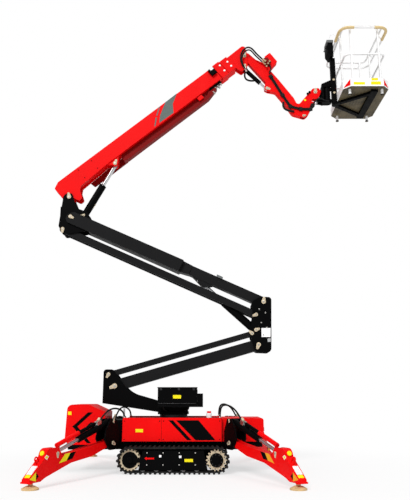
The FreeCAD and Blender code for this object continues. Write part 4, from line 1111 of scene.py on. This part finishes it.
def make_basket():
    for number, pixels in enumerate(BASKET_LABELS):
        outline = on_side(pixels, FLOOR_FACE)
        shape(f"basket_label_{number}", "yellow", "basket",
              lambda bm: prism_on(bm, upright, outline, -FLOOR_FACE, -FLOOR_FACE - SKIN))

    def triangles(bm):
        low, high = TRIANGLE_Z
        for sx, sy in CORNERS.values():
            outer = (BASKET_X + sx * 0.388, sy * 0.525)
            inner = (BASKET_X + sx * 0.290, sy * 0.623)
            add_prism(bm, [(*outer, low), (*inner, low), (*inner, high)],
                      Vector((sx, sy, 0)).normalized() * SKIN)

    shape("basket_triangles", "red", "basket", triangles)
    for name, start, middle, turn, end in FOAM_SLEEVES:
        course = [start, *rail_bend(middle, turn), end]
        line = [Vector((x, y, GUARD_RAIL_Z)) for x, y in course]
        shape(name, "foam", "basket", lambda bm: tube_along(bm, line, FOAM_R, 20))
    low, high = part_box("basket_panel")
    shape("panel_lid", "grey", "basket",
          lambda bm: box_on(bm, upright, (low[0] - 0.004, -0.121, high[2] - 0.050),
                            (low[0] + 0.118, 0.121, high[2] + 0.004)), 0.006)

    def knobs(bm):
        z = high[2] - 0.12
        for y in KNOBS_Y:
            add_tube(bm, (low[0] - 0.004, y, z), (low[0] - 0.026, y, z), KNOB_R, 16)

    shape("panel_knobs", "steel", "basket", knobs, 0.002)
    course = [spot(*pixel, WIRE_Y) for pixel in PANEL_WIRE]
    wire = hose_curve("panel_wire", course, WIRE_R, "white")
    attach(wire, "basket")

    def feet(bm):
        bottom, top = FOOT_Z
        for x in FOOT_X:
            for y in FOOT_Y:
                add_tube(bm, (x, y, bottom), (x, y, top), 0.029)

    shape("basket_feet", "rubber", "basket", feet, 0.003)

    def support_pins(bm):
        for z in POST_PIN_Z:
            add_tube(bm, (POST_PIN_X, -0.052, z), (POST_PIN_X, -0.045, z), 0.020)

    shape("post_pins", "cream", "basket", support_pins, 0.001)


# Floor and light
FLOOR_REACH = 60.0
FLOOR_SHARE = 0.62             # of plain white in the floor beside the object
SKY_LIGHT = 0.42


def make_floor():
    graph = Graph("floor")
    graph.shader.inputs["Base Color"].default_value = (0.86, 0.86, 0.86, 1.0)
    graph.shader.inputs["Roughness"].default_value = 0.9
    white = graph.add("ShaderNodeEmission")
    path = graph.add("ShaderNodeLightPath")
    seen = graph.math("MAXIMUM", path.outputs["Is Camera Ray"], path.outputs["Is Glossy Ray"])
    seen = graph.math("MAXIMUM", seen, path.outputs["Is Transmission Ray"])
    reach = graph.add("ShaderNodeVectorMath", operation="LENGTH")
    graph.link(graph.place, reach.inputs[0])
    share = graph.ramp(reach.outputs["Value"], 2.2, 5.5, FLOOR_SHARE, 1.0)
    mix = graph.add("ShaderNodeMixShader")
    graph.link(graph.math("MULTIPLY", seen, share), mix.inputs["Fac"])
    graph.link(graph.shader.outputs["BSDF"], mix.inputs[1])
    graph.link(white.outputs["Emission"], mix.inputs[2])
    graph.link(mix.outputs["Shader"], graph.tree.nodes["Material Output"].inputs["Surface"])
    mesh = bpy.data.meshes.new("floor")
    corners = [(x * FLOOR_REACH, y * FLOOR_REACH, 0.0)
               for x, y in ((-1, -1), (1, -1), (1, 1), (-1, 1))]
    mesh.from_pydata(corners, [], [(0, 1, 2, 3)])
    mesh.materials.append(graph.material)
    add_object("floor", mesh)


def sun(name, direction, strength, angle):
    data = bpy.data.lights.new(name, "SUN")
    data.energy = strength
    data.angle = math.radians(angle)
    lamp = add_object(name, data)
    lamp.rotation_euler = Vector(direction).to_track_quat("-Z", "Y").to_euler()


def make_light():
    world = bpy.data.worlds.new("world")
    bpy.context.scene.world = world
    world.use_nodes = True
    nodes, links = world.node_tree.nodes, world.node_tree.links
    sky = nodes["Background"]
    seen = nodes.new("ShaderNodeBackground")
    for node, strength in ((sky, SKY_LIGHT), (seen, 1.0)):
        node.inputs["Color"].default_value = (1.0, 1.0, 1.0, 1.0)
        node.inputs["Strength"].default_value = strength
    path = nodes.new("ShaderNodeLightPath")
    mix = nodes.new("ShaderNodeMixShader")
    links.new(path.outputs["Is Camera Ray"], mix.inputs["Fac"])
    links.new(sky.outputs["Background"], mix.inputs[1])
    links.new(seen.outputs["Background"], mix.inputs[2])
    links.new(mix.outputs["Shader"], nodes["World Output"].inputs["Surface"])
    sun("key", (0.35, 0.85, -0.75), 2.1, 18.0)
    sun("top", (-0.25, 0.25, -1.0), 0.9, 40.0)
    bpy.context.scene.view_settings.view_transform = "Standard"


make_camera()
make_light()
make_floor()
dress_nodes()
make_pins()
make_chassis_marks()
make_hood_details()
make_tracks()
for corner_name in CORNERS:
    make_leg(corner_name)
make_riser()
make_boom()
make_head()
make_basket()
